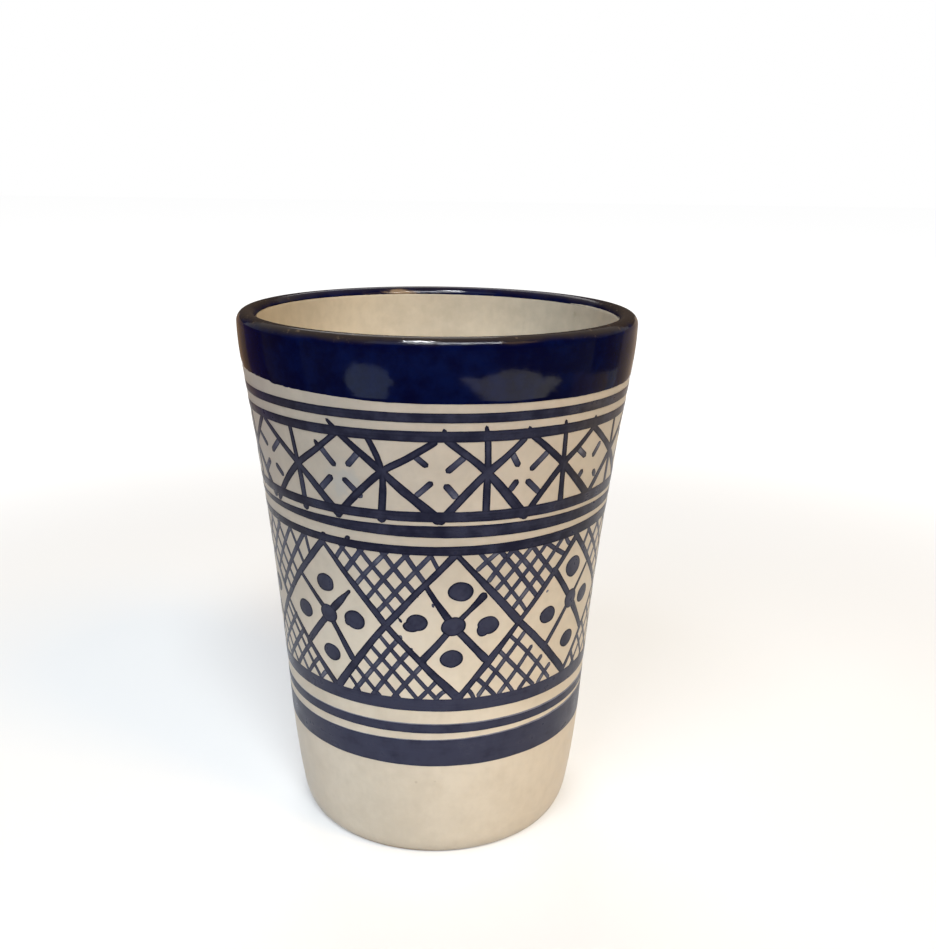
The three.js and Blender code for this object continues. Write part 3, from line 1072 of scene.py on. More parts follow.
@dataclass
class UpperFrieze:
    """Crossed zig-zags with posts and ticks between two rings."""

    brush: Brush
    count: int = 13
    top: float = 91.6
    waist: float = 84.7
    foot: float = 76.2
    arm: float = 1.45
    post: float = 1.36
    tick: float = 1.28
    overrun: float = 0.45
    lift: float = 0.03
    upper_bow: float = -0.2
    lower_bow: float = 0.35
    seed: int = 11
    front: tuple[Cross, ...] = (
        Cross((-71.0, 84.5), (-85.0, 91.4), (-60.0, 91.3), (-84.5, 76.0), (-58.6, 75.6),
              (-72.5, 91.6), (-70.6, 76.0)),
        Cross((-43.0, 84.3), (-58.3, 91.4), (-28.0, 92.0), (-56.6, 75.3), (-29.4, 76.0),
              (-44.7, 91.8), (-42.0, 75.5)),
        Cross((-15.1, 85.3), (-27.6, 92.4), (-0.6, 91.4), (-29.8, 75.6), (0.8, 76.0),
              (-18.9, 92.0), (-15.9, 75.7)),
        Cross((13.7, 85.3), (2.4, 91.8), (23.7, 91.4), (0.8, 75.8), (25.9, 76.0),
              (13.2, 92.4), (13.9, 77.4)),
        Cross((37.8, 85.3), (26.0, 91.8), (49.3, 91.2), (25.8, 75.7), (51.0, 77.2),
              (37.0, 92.4), (38.6, 77.4)),
        Cross((63.3, 84.5), (49.8, 91.0), (77.0, 91.2), (52.1, 77.6), (77.6, 76.2),
              (62.7, 91.4), (63.6, 77.4)),
    )
    nibs: tuple[Line, ...] = (
        ((-30.5, 94.4), (-27.0, 92.0)), ((1.6, 93.8), (2.5, 91.8)), ((12.7, 94.3), (13.4, 91.8)),
        ((24.7, 93.6), (25.4, 92.0)), ((36.5, 93.9), (37.2, 91.8)), ((49.3, 93.4), (49.7, 92.0)),
        ((-35.4, 89.9), (-34.2, 88.8)),
    )
    front_ticks: tuple[Line, ...] = (
        ((-64.4, 87.8), (-59.4, 85.6)), ((-51.4, 87.7), (-56.3, 84.9)),
        ((-63.6, 80.0), (-59.4, 82.6)), ((-51.8, 80.6), (-55.4, 82.3)),
        ((-34.3, 89.3), (-29.2, 85.5)), ((-21.8, 88.6), (-25.4, 85.9)),
        ((-35.0, 80.4), (-30.7, 83.3)), ((-21.5, 79.9), (-26.9, 83.2)),
        ((-6.0, 88.7), (-2.6, 86.8)), ((7.2, 88.6), (2.6, 85.7)),
        ((-5.9, 80.9), (-1.5, 83.7)), ((5.2, 80.6), (2.1, 83.2)),
        ((20.3, 88.8), (22.6, 86.1)), ((31.6, 88.2), (26.6, 85.1)),
        ((20.6, 81.4), (22.7, 83.3)), ((30.2, 80.3), (25.7, 83.1)),
        ((43.2, 87.6), (47.3, 85.6)), ((54.6, 87.4), (51.2, 85.1)),
        ((45.2, 81.4), (46.9, 82.8)), ((54.3, 80.6), (52.9, 81.9)),
    )

    usual_ticks: tuple[tuple[float, ...], ...] = (
        (0.29, 0.45, 88.4, 85.7), (0.75, 0.58, 88.2, 85.3),
        (0.27, 0.42, 80.7, 83.0), (0.73, 0.57, 80.5, 82.8),
    )
    left_widths: Triple = (0.88, 1.02, 1.28)
    right_widths: Triple = (0.78, 0.98, 1.02)
    post_widths: Triple = (0.78, 0.9, 1.12)

    def back(self, draw: random.Random) -> list[Cross]:
        """Carries the crosses on round the back at the front's pace.

        Args:
            draw: Source of the hand's small errors.

        Returns:
            The crosses that the front doesn't show.
        """
        first, last = self.front[-1].middle[0], self.front[0].middle[0] + 360
        more = self.count - len(self.front)
        pace = (last - first) / (more + 1)
        crosses = []
        for k in range(1, more + 1):
            a = first + pace * k
            near = [a + draw.uniform(-1.2, 1.2) for _ in range(6)]
            slip = [draw.uniform(-0.3, 0.8) for _ in range(6)]
            half = pace / 2
            crosses.append(Cross(
                (a, self.waist + draw.uniform(-0.5, 0.6)),
                (near[0] - half, self.top + slip[0]), (near[1] + half, self.top + slip[1]),
                (near[2] - half, self.foot - slip[2]), (near[3] + half, self.foot - slip[3]),
                (near[4], self.top + slip[4]), (near[5], self.foot - slip[5] + 0.6),
            ))
        return crosses

    def ticks(self, crosses: Sequence[Cross], draw: random.Random) -> list[Line]:
        """Sets four ticks in each diamond that the front doesn't show.

        Args:
            crosses: All crosses, in order round the cup.
            draw: Source of the hand's small errors.

        Returns:
            The ticks, each from its root to its tip.
        """
        ticks = list(self.front_ticks)
        hidden = crosses[len(self.front) - 1:]
        turned = Cross(*[(p[0] + 360, p[1]) for p in vars(crosses[0]).values()])
        for left, right in zip(hidden, [*hidden[1:], turned]):
            a, b = left.middle[0], right.middle[0]
            for share, tip, root_z, tip_z in self.usual_ticks:
                root = (a + (b - a) * share + draw.uniform(-1, 1), root_z + draw.uniform(-0.4, 0.4))
                end = (a + (b - a) * tip + draw.uniform(-1, 1), tip_z + draw.uniform(-0.4, 0.4))
                ticks.append((root, end))
        return ticks

    def build(self) -> None:
        """Paints the frieze."""
        draw = random.Random(self.seed)
        crosses = [*self.front, *self.back(draw)]
        strokes = []
        for root, tip in self.ticks(crosses, draw):
            inks = (draw.uniform(0.6, 0.85), draw.uniform(0.75, 1.0), 1.45)
            points = (root, between(root, tip, 0.5), tip)
            strokes.append(Stroke(points, (self.tick + draw.uniform(-0.1, 0.1),), inks, 0.2))
        for c in crosses:
            arm = self.arm + draw.uniform(-0.1, 0.12)
            inks = tuple(draw.uniform(1.15, 1.45) for _ in range(3))
            left = (c.upper_left, c.middle, c.lower_right)
            right = (c.upper_right, between(c.upper_right, c.middle, 0.5, self.upper_bow), c.middle,
                     between(c.middle, c.lower_left, 0.5, self.lower_bow), c.lower_left)
            post = (c.post_top, c.middle, c.post_foot)
            for points, width, shares in (
                (left, arm, self.left_widths),
                (right, arm, self.right_widths),
                (post, self.post, self.post_widths),
            ):
                widths = tuple(width * w * draw.uniform(0.93, 1.07) for w in shares)
                strokes.append(Stroke(points, widths, inks, self.overrun, self.lift))
        for top, foot in self.nibs:
            strokes.append(Stroke((top, foot), (0.55, 1.3), (1.5,), 0.15, self.lift))
        piece = self.brush.paint("upper_frieze_of_diamonds", strokes)
        stand_for(piece, Slot.PAINT, "upper_frieze_brushwork")


@dataclass(frozen=True)
class Lozenge:
    """One lozenge of the lower frieze: its corners, blob, ends of its cross and its four dots."""

    top: Spot
    bottom: Spot
    blob: Spot
    arms: tuple[Spot, Spot, Spot, Spot]
    dots: tuple[Spot, Spot, Spot, Spot]

    def turned(self) -> "Lozenge":
        """Returns the same lozenge, counted one whole turn on."""
        return Lozenge((self.top[0] + 360, self.top[1]), (self.bottom[0] + 360, self.bottom[1]),
                       self.blob, self.arms, self.dots)


@dataclass(frozen=True)
class Hatch:
    """The crossed lines in one triangle: those that fall to the right, and those that rise."""

    falling: tuple[Line, ...]
    rising: tuple[Line, ...]


@dataclass
class LowerFrieze:
    """Lozenges with crosses and dots, and hatching between them."""

    brush: Brush
    count: int = 8
    top: float = 69.2
    foot: float = 38.0
    waist: float = 53.7
    side: float = 1.42
    side_bow: float = 0.2
    arm: float = 1.3
    arm_bow: float = 0.1
    hatch: float = 1.06
    overrun: float = 0.7
    hatch_overrun: float = 0.72
    hatch_outline: float = 0.3
    rising_ink_and_width: Spot = (0.78, 1.0)
    falling_ink_and_width: Spot = (0.92, 0.92)
    lift: float = 0.02
    crossing: float = 0.3
    crossing_reach: float = 0.75
    uneven: float = 0.16
    blob: Spot = (4.6, 4.0)
    blob_ink: float = 1.1
    front_blobs: tuple[Spot, ...] = ((4.5, 3.9), (5.0, 4.1), (4.1, 4.2))
    front_sides: tuple[Shares, ...] = (
        ((0.75, 0.85, 1.0, 1.0, 1.1), (1.0, 1.0, 1.25, 1.3),
         (1.05, 1.0, 0.9, 0.75), (0.85, 0.95, 1.1)),
        ((0.75, 0.95, 1.2, 1.3), (0.75, 0.95, 1.2, 0.95, 1.05),
         (1.5, 1.25, 1.05, 0.85, 1.05), (1.05, 0.95, 0.88, 1.05)),
        ((0.95, 0.95), (0.9, 0.9), (1.25, 1.25, 1.15, 1.0), (0.85, 0.95, 1.05)),
    )
    front_arms: tuple[Shares, ...] = (
        ((1.1, 0.75), (0.95, 1.3, 1.15, 0.5), (1.05, 1.05, 1.3), (1.1, 1.2)),
        ((1.35, 1.0, 0.75), (0.9, 0.85, 1.3), (1.2, 1.2, 1.35), (1.0, 1.1, 1.3)),
        ((1.1, 1.1), (0.8, 0.7), (1.3, 1.0), (0.8, 1.0)),
    )
    dot: float = 4.8
    dot_ink: float = 1.15
    seed: int = 23
    front: tuple[Lozenge, ...] = (
        Lozenge((-36.8, 69.4), (-35.8, 37.8), (-37.2, 53.8),
                ((-48.7, 60.6), (-28.5, 59.6), (-28.8, 45.2), (-49.3, 45.2)),
                ((-37.5, 60.5), (-26.9, 53.8), (-37.4, 45.2), (-48.8, 52.9))),
        Lozenge((5.6, 69.4), (7.6, 38.2), (5.4, 54.1),
                ((-3.4, 62.8), (14.6, 60.4), (16.2, 46.4), (-4.8, 46.5)),
                ((7.3, 61.5), (16.7, 53.9), (5.0, 47.1), (-6.1, 54.9))),
        Lozenge((49.3, 68.8), (51.2, 38.2), (50.7, 54.8),
                ((40.0, 62.8), (58.8, 60.6), (61.0, 46.4), (39.5, 46.2)),
                ((49.8, 62.0), (59.2, 54.2), (51.4, 45.6), (39.3, 53.2))),
    )
    front_corners: tuple[Spot, ...] = ((-61.0, 52.7), (-16.2, 53.8), (27.6, 53.5), (73.0, 53.5))
    front_hatches: tuple[tuple[Hatch, Hatch], ...] = (
        (Hatch((((-30.2, 69.5), (-12.6, 56.1)), ((-23.8, 69.5), (-9.5, 58.5)),
                ((-16.5, 69.5), (-6.2, 60.8)),
                ((-9.8, 69.5), (-3.1, 63.0)), ((-2.0, 69.5), (0.6, 66.0))),
               (((-28.9, 69.4), (-32.2, 66.4)), ((-22.7, 69.4), (-28.9, 64.2)),
                ((-14.8, 69.4), (-25.8, 61.5)),
                ((-8.7, 69.2), (-22.1, 59.1)), ((-1.7, 69.2), (-18.8, 56.5)))),
         Hatch((((-18.2, 51.2), (-0.6, 38.7)), ((-21.3, 48.6), (-6.4, 38.1)),
                ((-24.4, 46.2), (-12.6, 38.0)),
                ((-28.0, 43.6), (-19.6, 38.0)), ((-30.8, 41.1), (-27.2, 38.1))),
               (((-11.8, 51.4), (-28.8, 38.0)), ((-8.4, 48.8), (-21.8, 38.0)),
                ((-3.9, 46.0), (-14.3, 38.0)),
                ((0.6, 42.6), (-5.9, 38.0)), ((2.5, 39.8), (0.0, 38.1))))),
        (Hatch((((12.9, 69.2), (29.8, 55.6)), ((19.3, 69.3), (33.4, 58.3)),
                ((23.5, 69.3), (36.2, 60.1)),
                ((30.0, 69.3), (39.5, 62.3)), ((35.2, 69.4), (43.6, 65.7)),
                ((43.6, 69.3), (45.8, 67.6))),
               (((18.6, 69.2), (12.7, 66.1)), ((23.3, 69.1), (16.3, 63.6)),
                ((29.4, 68.9), (19.1, 61.7)),
                ((34.9, 68.9), (22.2, 59.4)), ((42.0, 69.2), (25.3, 57.0)))),
         Hatch((((24.6, 50.8), (42.9, 38.5)), ((20.4, 48.2), (35.4, 38.3)),
                ((17.0, 45.2), (26.8, 38.2)),
                ((13.7, 42.3), (20.1, 38.0)), ((11.2, 39.7), (12.6, 38.3))),
               (((29.6, 50.5), (14.7, 38.7)), ((33.0, 46.9), (22.0, 38.3)),
                ((38.0, 43.8), (29.8, 38.3)),
                ((42.6, 41.2), (38.2, 38.3))))),
    )
    tails: tuple[Daub, ...] = (
        Daub((-7.7, 54.1), 3.6, 2.6, 0, 1.15), Daub((15.0, 52.9), 2.9, 2.6, 40, 1.15),
        Daub((-29.1, 53.1), 1.9, 1.7, 20, 1.15),
    )
    marks: tuple[Daub, ...] = (
        Daub((-11.4, 55.2), 1.1, 0.55, -50, 0.9), Daub((-0.9, 58.7), 0.45, 0.9, 15, 0.62),
        Daub((37.9, 58.5), 0.7, 0.5, 30, 0.22), Daub((-27.2, 71.2), 1.3, 1.0, 20, 1.25),
        Daub((-36.0, 71.1), 1.1, 0.8, 0, 1.25),
    )

    def lozenges(self, draw: random.Random) -> list[Lozenge]:
        """Carries the lozenges on round the back at the front's pace.

        Args:
            draw: Source of the hand's small errors.

        Returns:
            All lozenges, in order round the cup.
        """
        found = list(self.front)
        first, last = found[-1].top[0], found[0].top[0] + 360
        more = self.count - len(found)
        pace = (last - first) / (more + 1)

        def near(angle: float, z: float, slack: float = 0.6) -> Spot:
            """Returns a spot a little off, as a hand sets it."""
            return angle + draw.uniform(-slack, slack) * 1.5, z + draw.uniform(-slack, slack)

        for k in range(1, more + 1):
            a = first + pace * k
            found.append(Lozenge(
                near(a, self.top, 0.3), near(a + 1, self.foot, 0.3), near(a, 53.9),
                (near(a - 10.5, 62.0), near(a + 9.8, 60.6),
                 near(a + 10.0, 46.0), near(a - 10.8, 46.0)),
                (near(a + 0.5, 61.3), near(a + 10.3, 53.9), near(a, 45.9), near(a - 11.0, 53.7)),
            ))
        return found

    def corners(self, lozenges: Sequence[Lozenge], draw: random.Random) -> list[Spot]:
        """Finds where neighbours meet.

        Args:
            lozenges: All lozenges, in order round the cup.
            draw: Source of the hand's small errors.

        Returns:
            Each lozenge's meeting with the one before it, and the last's with the first.
        """
        found = list(self.front_corners)
        hidden = lozenges[len(self.front):]
        for left, right in zip(hidden, hidden[1:]):
            angle = (left.top[0] + right.top[0]) / 2 + draw.uniform(-0.8, 0.8)
            found.append((angle, self.waist + draw.uniform(-0.5, 0.5)))
        return [*found, (found[0][0] + 360, found[0][1])]

    @staticmethod
    def hatches(left: Lozenge, right: Lozenge, corner: Spot,
                draw: random.Random) -> tuple[Hatch, Hatch]:
        """Lays out the hatching between two neighbours that the front doesn't show.

        Args:
            left: The lozenge on the left.
            right: The lozenge on the right.
            corner: Where they meet.
            draw: Source of the hand's small errors.

        Returns:
            The lines above and below the corner.
        """

        def lines(near: Line, far: Line, first: Spot, pace: Spot) -> tuple[Line, ...]:
            """Rules five lines from one edge to another.

            Args:
                near: The edge where they start.
                far: The edge where they end.
                first: Shares along both edges at which the first line stands.
                pace: Shares from each line to the next.

            Returns:
                The lines.
            """
            found = []
            for k in range(5):
                slack = draw.uniform(-0.018, 0.018)
                shares = [min(0.95, f + p * k + slack) for f, p in zip(first, pace)]
                found.append((between(*near, shares[0]), between(*far, shares[1])))
            return tuple(found)

        ceiling, ground = (left.top, right.top), (left.bottom, right.bottom)
        upper = Hatch(lines(ceiling, (corner, right.top), (0.147, 0.143), (0.17, 0.149)),
                      lines(ceiling, (left.top, corner), (0.167, 0.205), (0.165, 0.168)))
        lower = Hatch(lines(ground, (left.bottom, corner), (0.19, 0.232), (0.157, 0.163)),
                      lines(ground, (corner, right.bottom), (0.15, 0.18), (0.17, 0.165)))
        return upper, lower

    def hatching(self, hatch: Hatch, draw: random.Random) -> list[Stroke]:
        """Draws the lines of one triangle, darker where two cross and the colour lies double.

        Args:
            hatch: The lines.
            draw: Source of the hand's small errors.

        Returns:
            The strokes.
        """

        def gap(spot: Spot, line: Line) -> float:
            """Measures from a spot to a line.

            Args:
                spot: The spot.
                line: The line.

            Returns:
                The distance in millimetres.
            """
            p, a, b = (Vector(self.brush.flat(q)) / MM for q in (spot, *line))
            share = max(0.0, min(1.0, (p - a).dot(b - a) / (b - a).length_squared))
            return (p - a - (b - a) * share).length

        strokes = []
        shares = steps(0.0, 1.0, 0.05)
        for own, others, ink, width in (
            (hatch.rising, hatch.falling, *self.rising_ink_and_width),
            (hatch.falling, hatch.rising, *self.falling_ink_and_width),
        ):
            for line in own:
                depth, bow = ink + draw.uniform(-0.1, 0.12), draw.uniform(-0.25, 0.3)
                points = [between(*line, t, bow * arch(t)) for t in shares]
                near = [min(gap(p, other) for other in others) for p in points]
                dark = [self.crossing * max(0.0, 1 - d / self.crossing_reach) for d in near]
                inks = [depth - 0.08 * abs(2 * t - 1) + d for t, d in zip(shares, dark)]
                size = width * self.hatch + draw.uniform(-0.1, 0.1)
                strokes.append(Stroke(tuple(points), (size,), tuple(inks), self.hatch_overrun,
                                      outline=self.hatch_outline))
        return strokes

    def pressed(self, draw: random.Random) -> Shares:
        """Draws how hard the brush is pressed along each of four pulls."""
        return tuple(tuple(1 + draw.uniform(-self.uneven, self.uneven) for _ in range(4))
                     for _ in range(4))

    def pulled(self, first: Spot, last: Spot, widths: Sequence[float], bow: float,
               draw: random.Random) -> Stroke:
        """Draws one free pull of the brush, a little bowed and unevenly loaded.

        Args:
            first: Where it starts.
            last: Where it ends.
            widths: Its widths, spread along it.
            bow: The most that it may stray at its middle, in millimetres.
            draw: Source of the hand's small errors.

        Returns:
            The stroke.
        """
        sag = draw.uniform(-bow, bow)
        points = tuple(between(first, last, t, sag * arch(t)) for t in steps(0.0, 1.0, 0.125))
        inks = tuple(draw.uniform(0.95, 1.4) for _ in range(4))
        return Stroke(points, tuple(widths), inks, self.overrun, self.lift)

    def build(self) -> None:
        """Paints the frieze as hatching, lozenges with crosses, blobs and dots."""
        draw = random.Random(self.seed)
        lozenges = self.lozenges(draw)
        corners = self.corners(lozenges, draw)
        sides, hatching, blobs, dots = [], [], list(self.marks), list(self.tails)
        for k, z in enumerate(lozenges):
            left, right = corners[k], corners[k + 1]
            shown = k < len(self.front)
            lines = ((z.top, right), (right, z.bottom), (z.bottom, left), (left, z.top))
            widths = self.front_sides[k] if shown else self.pressed(draw)
            for line, shares in zip(lines, widths):
                side = [self.side * w for w in shares]
                sides.append(self.pulled(*line, side, self.side_bow, draw))
            widths = self.front_arms[k] if shown else self.pressed(draw)
            for end, shares in zip(z.arms, widths):
                arm = [self.arm * w for w in shares]
                sides.append(self.pulled(z.blob, end, arm, self.arm_bow, draw))
            across, tall = self.front_blobs[k] if shown else self.blob
            blobs.append(Daub(z.blob, across, tall, draw.uniform(-12, 12), self.blob_ink))
            for spot in z.dots:
                across = self.dot * draw.uniform(0.93, 1.06)
                tall = across * draw.uniform(0.79, 0.88)
                dots.append(Daub(spot, across, tall, draw.uniform(-18, 18), self.dot_ink))
            after = lozenges[k + 1] if k + 1 < self.count else lozenges[0].turned()
            known = k < len(self.front_hatches)
            pair = self.front_hatches[k] if known else self.hatches(z, after, right, draw)
            for hatch in pair:
                hatching += self.hatching(hatch, draw)
        stand_for(self.brush.paint("lower_frieze_hatching", hatching), Slot.PAINT)
        piece = self.brush.paint("lower_frieze_of_lozenges", sides)
        stand_for(piece, Slot.PAINT, "lower_frieze_brushwork")
        stand_for(self.brush.dab("lozenge_blobs", blobs), Slot.PAINT)
        nodes = [f"lozenge_{n}_{side}_dot" for n in range(1, self.count + 1)
                 for side in ("top", "right", "bottom", "left")]
        stand_for(self.brush.dab("lozenge_dots", dots), Slot.PAINT, *nodes)


class Finish:
    """A finish whose nodes end in one Principled shader."""

    name: str

    def start(self) -> tuple[Material, Graph, Node, NodeSocket]:
        """Starts a material.

        Returns:
            The material, its graph, its shader and the Object coordinates in metres.
        """
        material = bpy.data.materials.new(self.name)
        material.use_nodes = True
        graph = Graph(material.node_tree)
        shader = material.node_tree.nodes["Principled BSDF"]
        place = graph.add("ShaderNodeTexCoord").outputs["Object"]
        return material, graph, shader, place

    @staticmethod
    def blend(g: Graph, share: Any, first: Any, second: Any) -> NodeSocket:
        """Mixes two colours and returns the result."""
        inputs = {0: share, 6: first, 7: second}
        return g.add("ShaderNodeMix", inputs, data_type="RGBA", blend_type="MIX").outputs[2]

    @staticmethod
    def relief(g: Graph, height: Any, strength: float, depth: float, shader: Node) -> None:
        """Gives a shader bump from a height, in metres of depth."""
        inputs = {"Height": height, "Strength": strength, "Distance": depth}
        g.feed(shader, "Normal", g.add("ShaderNodeBump", inputs).outputs[0])


@dataclass(frozen=True)
class CreamGlaze(Finish):
    """Soft-gloss cream glaze, cloudy, with fine brush streaks, specks and pinholes.

    It turns darker and greyer towards the lip: partly a greyer glaze near the blue, partly painted
    shade of the light falling off up the wall. It has one mark: a grey smudge outside, and a small
    pit inside whose darker colour is painted shade.
    """

    name: str
    colour: Colour
    thin: Colour
    haze_and_painted_shade: Colour
    mark: Colour
    mark_place: Triple
    mark_reach: float
    mark_depth: float = 0.0
    mark_strength: float = 0.55
    mark_core: float = 0.2
    mark_fray: float = 1.5
    haze_and_shade_heights: Spot = (35 * MM, 90 * MM)
    haze_and_shade_spread: Spot = (0.91, 1.09)
    cloud_scale: float = 38.0
    mottle_scale: float = 420.0
    streak_scale: float = 620.0
    streak_stretch: Triple = (1.0, 1.0, 0.12)
    cloud_mottle_streak: Triple = (0.64, 0.27, 0.09)
    thin_to_full: Spot = (0.36, 0.66)
    speck: Colour = (0.30, 0.21, 0.13, 1.0)
    speck_scale: float = 260.0
    speck_rarity: float = 0.97
    speck_edge: Spot = (0.05, 0.1)
    speck_strength: float = 0.25
    pinhole: float = 0.8
    skin_scale: float = 900.0
    skin_share: float = 0.25
    roughness: Spot = (0.33, 0.46)
    specular: float = 0.16
    bump: Spot = (0.1, 0.1 * MM)

    def material(self) -> Material:
        """Builds the finish.

        Returns:
            Its material.
        """
        material, g, shader, place = self.start()
        cloud = g.noise(place, self.cloud_scale, 4.0, 0.6).outputs[0]
        mottle = g.noise(place, self.mottle_scale, 3.0, 0.6).outputs[0]
        tall = g.vector("MULTIPLY", place, self.streak_stretch)
        streak = g.noise(tall, self.streak_scale, 2.0, 0.5).outputs[0]
        layers = zip((cloud, mottle, streak), self.cloud_mottle_streak)
        cloudy, mottled, streaky = (g.math("MULTIPLY", layer, share) for layer, share in layers)
        share = g.math("ADD", g.math("ADD", cloudy, mottled), streaky)
        share = g.ramp(share, *self.thin_to_full)
        colour = self.blend(g, share, self.thin, self.colour)
        # Darker and greyer towards the lip: partly greyer glaze, partly painted shade of light
        # falling off up the wall.
        low, high = ((*(c * s for c in self.haze_and_painted_shade[:3]), 1.0) for s in self.haze_and_shade_spread)
        climb = g.ramp(g.split(place)[2], *self.haze_and_shade_heights)
        colour = self.blend(g, climb, colour, self.blend(g, share, low, high))
        # The mark: a grey smudge outside; inside, a pit whose darker colour is painted shade on top
        # of the bump's dent.
        away = g.length(g.vector("SUBTRACT", place, self.mark_place))
        ragged = g.math("MULTIPLY_ADD", g.centred(mottle), self.mark_reach * self.mark_fray, away)
        marked = g.ramp(ragged, self.mark_reach * self.mark_core, self.mark_reach, 1.0, 0.0)
        colour = self.blend(g, g.math("MULTIPLY", marked, self.mark_strength), colour, self.mark)
        grid = {"Vector": place, "Scale": self.speck_scale, "Randomness": 1.0}
        cells = g.add("ShaderNodeTexVoronoi", grid).outputs
        few = g.math("GREATER_THAN", g.split(cells["Color"])[0], self.speck_rarity)
        spots = g.math("MULTIPLY", g.ramp(cells["Distance"], *self.speck_edge, 1.0, 0.0), few)
        colour = self.blend(g, g.math("MULTIPLY", spots, self.speck_strength), colour, self.speck)
        g.feed(shader, "Base Color", colour)
        g.feed(shader, "Roughness", g.ramp(mottle, *NOISE_RANGE, *self.roughness))
        shader.inputs["Specular IOR Level"].default_value = self.specular
        fine = g.noise(place, self.skin_scale, 2.0).outputs[0]
        skin = g.math("MULTIPLY_ADD", fine, self.skin_share, mottle)
        skin = g.math("SUBTRACT", skin, g.math("MULTIPLY", spots, self.pinhole))
        skin = g.math("SUBTRACT", skin, g.math("MULTIPLY", marked, self.mark_depth))
        self.relief(g, skin, *self.bump, shader)
        return material


@dataclass(frozen=True)
class CobaltGlaze(Finish):
    """Deep glossy cobalt, brown over the crown of the lip: partly burnt where it runs thin, partly
    painted reflection of a warm brown room, with less of it towards the back.

    It has a pale brown patch at one place on the far side of the lip.
    """

    name: str
    deep: Colour
    pale: Colour
    burnt_and_reflected_brown: Colour
    bare: Colour
    far_patch_place: Triple = (-0.0099, 0.0361, 0.1089)
    far_patch_reach: Triple = (5.4 * MM, 1.7 * MM, 0.75 * MM)
    far_patch_edge: Spot = (0.45, 1.1)
    far_patch_strength: float = 0.8
    far_patch_fray: float = 1.2
    crown: float = WALL.height * MM
    brown_depth: float = 1.5 * MM
    brown_full: float = 0.15 * MM
    brown_fray: float = 1.6 * MM
    far_side: Spot = (5 * MM, 34 * MM)
    far_brown: float = 0.4
    worn_flecks: Spot = (0.6, 0.7)
    worn_strength: float = 0.22
    cloud_scale: float = 70.0
    fleck_scale: float = 700.0
    curdle_scale: float = 330.0
    fray_scale: float = 160.0
    deep_to_pale: Spot = (0.4, 0.66)
    roughness: Spot = (0.05, 0.12)
    ior: float = 1.08
    specular: float = 0.62
    grain: Spot = (0.7, 0.15)
    bump: Spot = (0.15, 0.3 * MM)

    def material(self) -> Material:
        """Builds the finish.

        Returns:
            Its material.
        """
        material, g, shader, place = self.start()
        _, y, z = g.split(place)
        cloud = g.noise(place, self.cloud_scale, 3.0, 0.55).outputs[0]
        fleck = g.noise(place, self.fleck_scale, 3.0, 0.65).outputs[0]
        curdle = g.noise(place, self.curdle_scale, 3.0, 0.6).outputs[0]
        curdle = g.math("MULTIPLY_ADD", curdle, 0.5, g.math("MULTIPLY", cloud, 0.5))
        colour = self.blend(g, g.ramp(curdle, *self.deep_to_pale), self.deep, self.pale)
        # Brown crown: partly burnt thin glaze, partly painted reflection of a warm room; weaker
        # towards the back.
        patchy = g.math("MULTIPLY_ADD", g.waver(place, self.fray_scale, 2.0), self.brown_fray, z)
        burn_and_reflection = g.ramp(patchy, self.crown - self.brown_depth, self.crown - self.brown_full)
        burn_and_reflection = g.math("MULTIPLY", burn_and_reflection, g.ramp(y, *self.far_side, 1.0, self.far_brown))
        colour = self.blend(g, burn_and_reflection, colour, self.burnt_and_reflected_brown)
        worn = g.math("MULTIPLY", burn_and_reflection, self.worn_strength)
        worn = g.math("MULTIPLY", g.ramp(fleck, *self.worn_flecks), worn)
        # A pale brown patch on the far side of the lip, and pale brown flecks on the crown.
        off = g.vector("DIVIDE", g.vector("SUBTRACT", place, self.far_patch_place), self.far_patch_reach)
        ragged = g.math("MULTIPLY_ADD", g.centred(fleck), self.far_patch_fray, g.length(off))
        patch = g.ramp(ragged, *self.far_patch_edge, self.far_patch_strength, 0.0)
        colour = self.blend(g, g.math("MAXIMUM", worn, patch), colour, self.bare)
        g.feed(shader, "Base Color", colour)
        g.feed(shader, "Roughness", g.ramp(fleck, *NOISE_RANGE, *self.roughness))
        shader.inputs["IOR"].default_value = self.ior
        shader.inputs["Specular IOR Level"].default_value = self.specular
        grain = g.math("MULTIPLY", fleck, g.math("MULTIPLY_ADD", burn_and_reflection, *self.grain))
        self.relief(g, g.math("ADD", cloud, grain), *self.bump, shader)
        return material


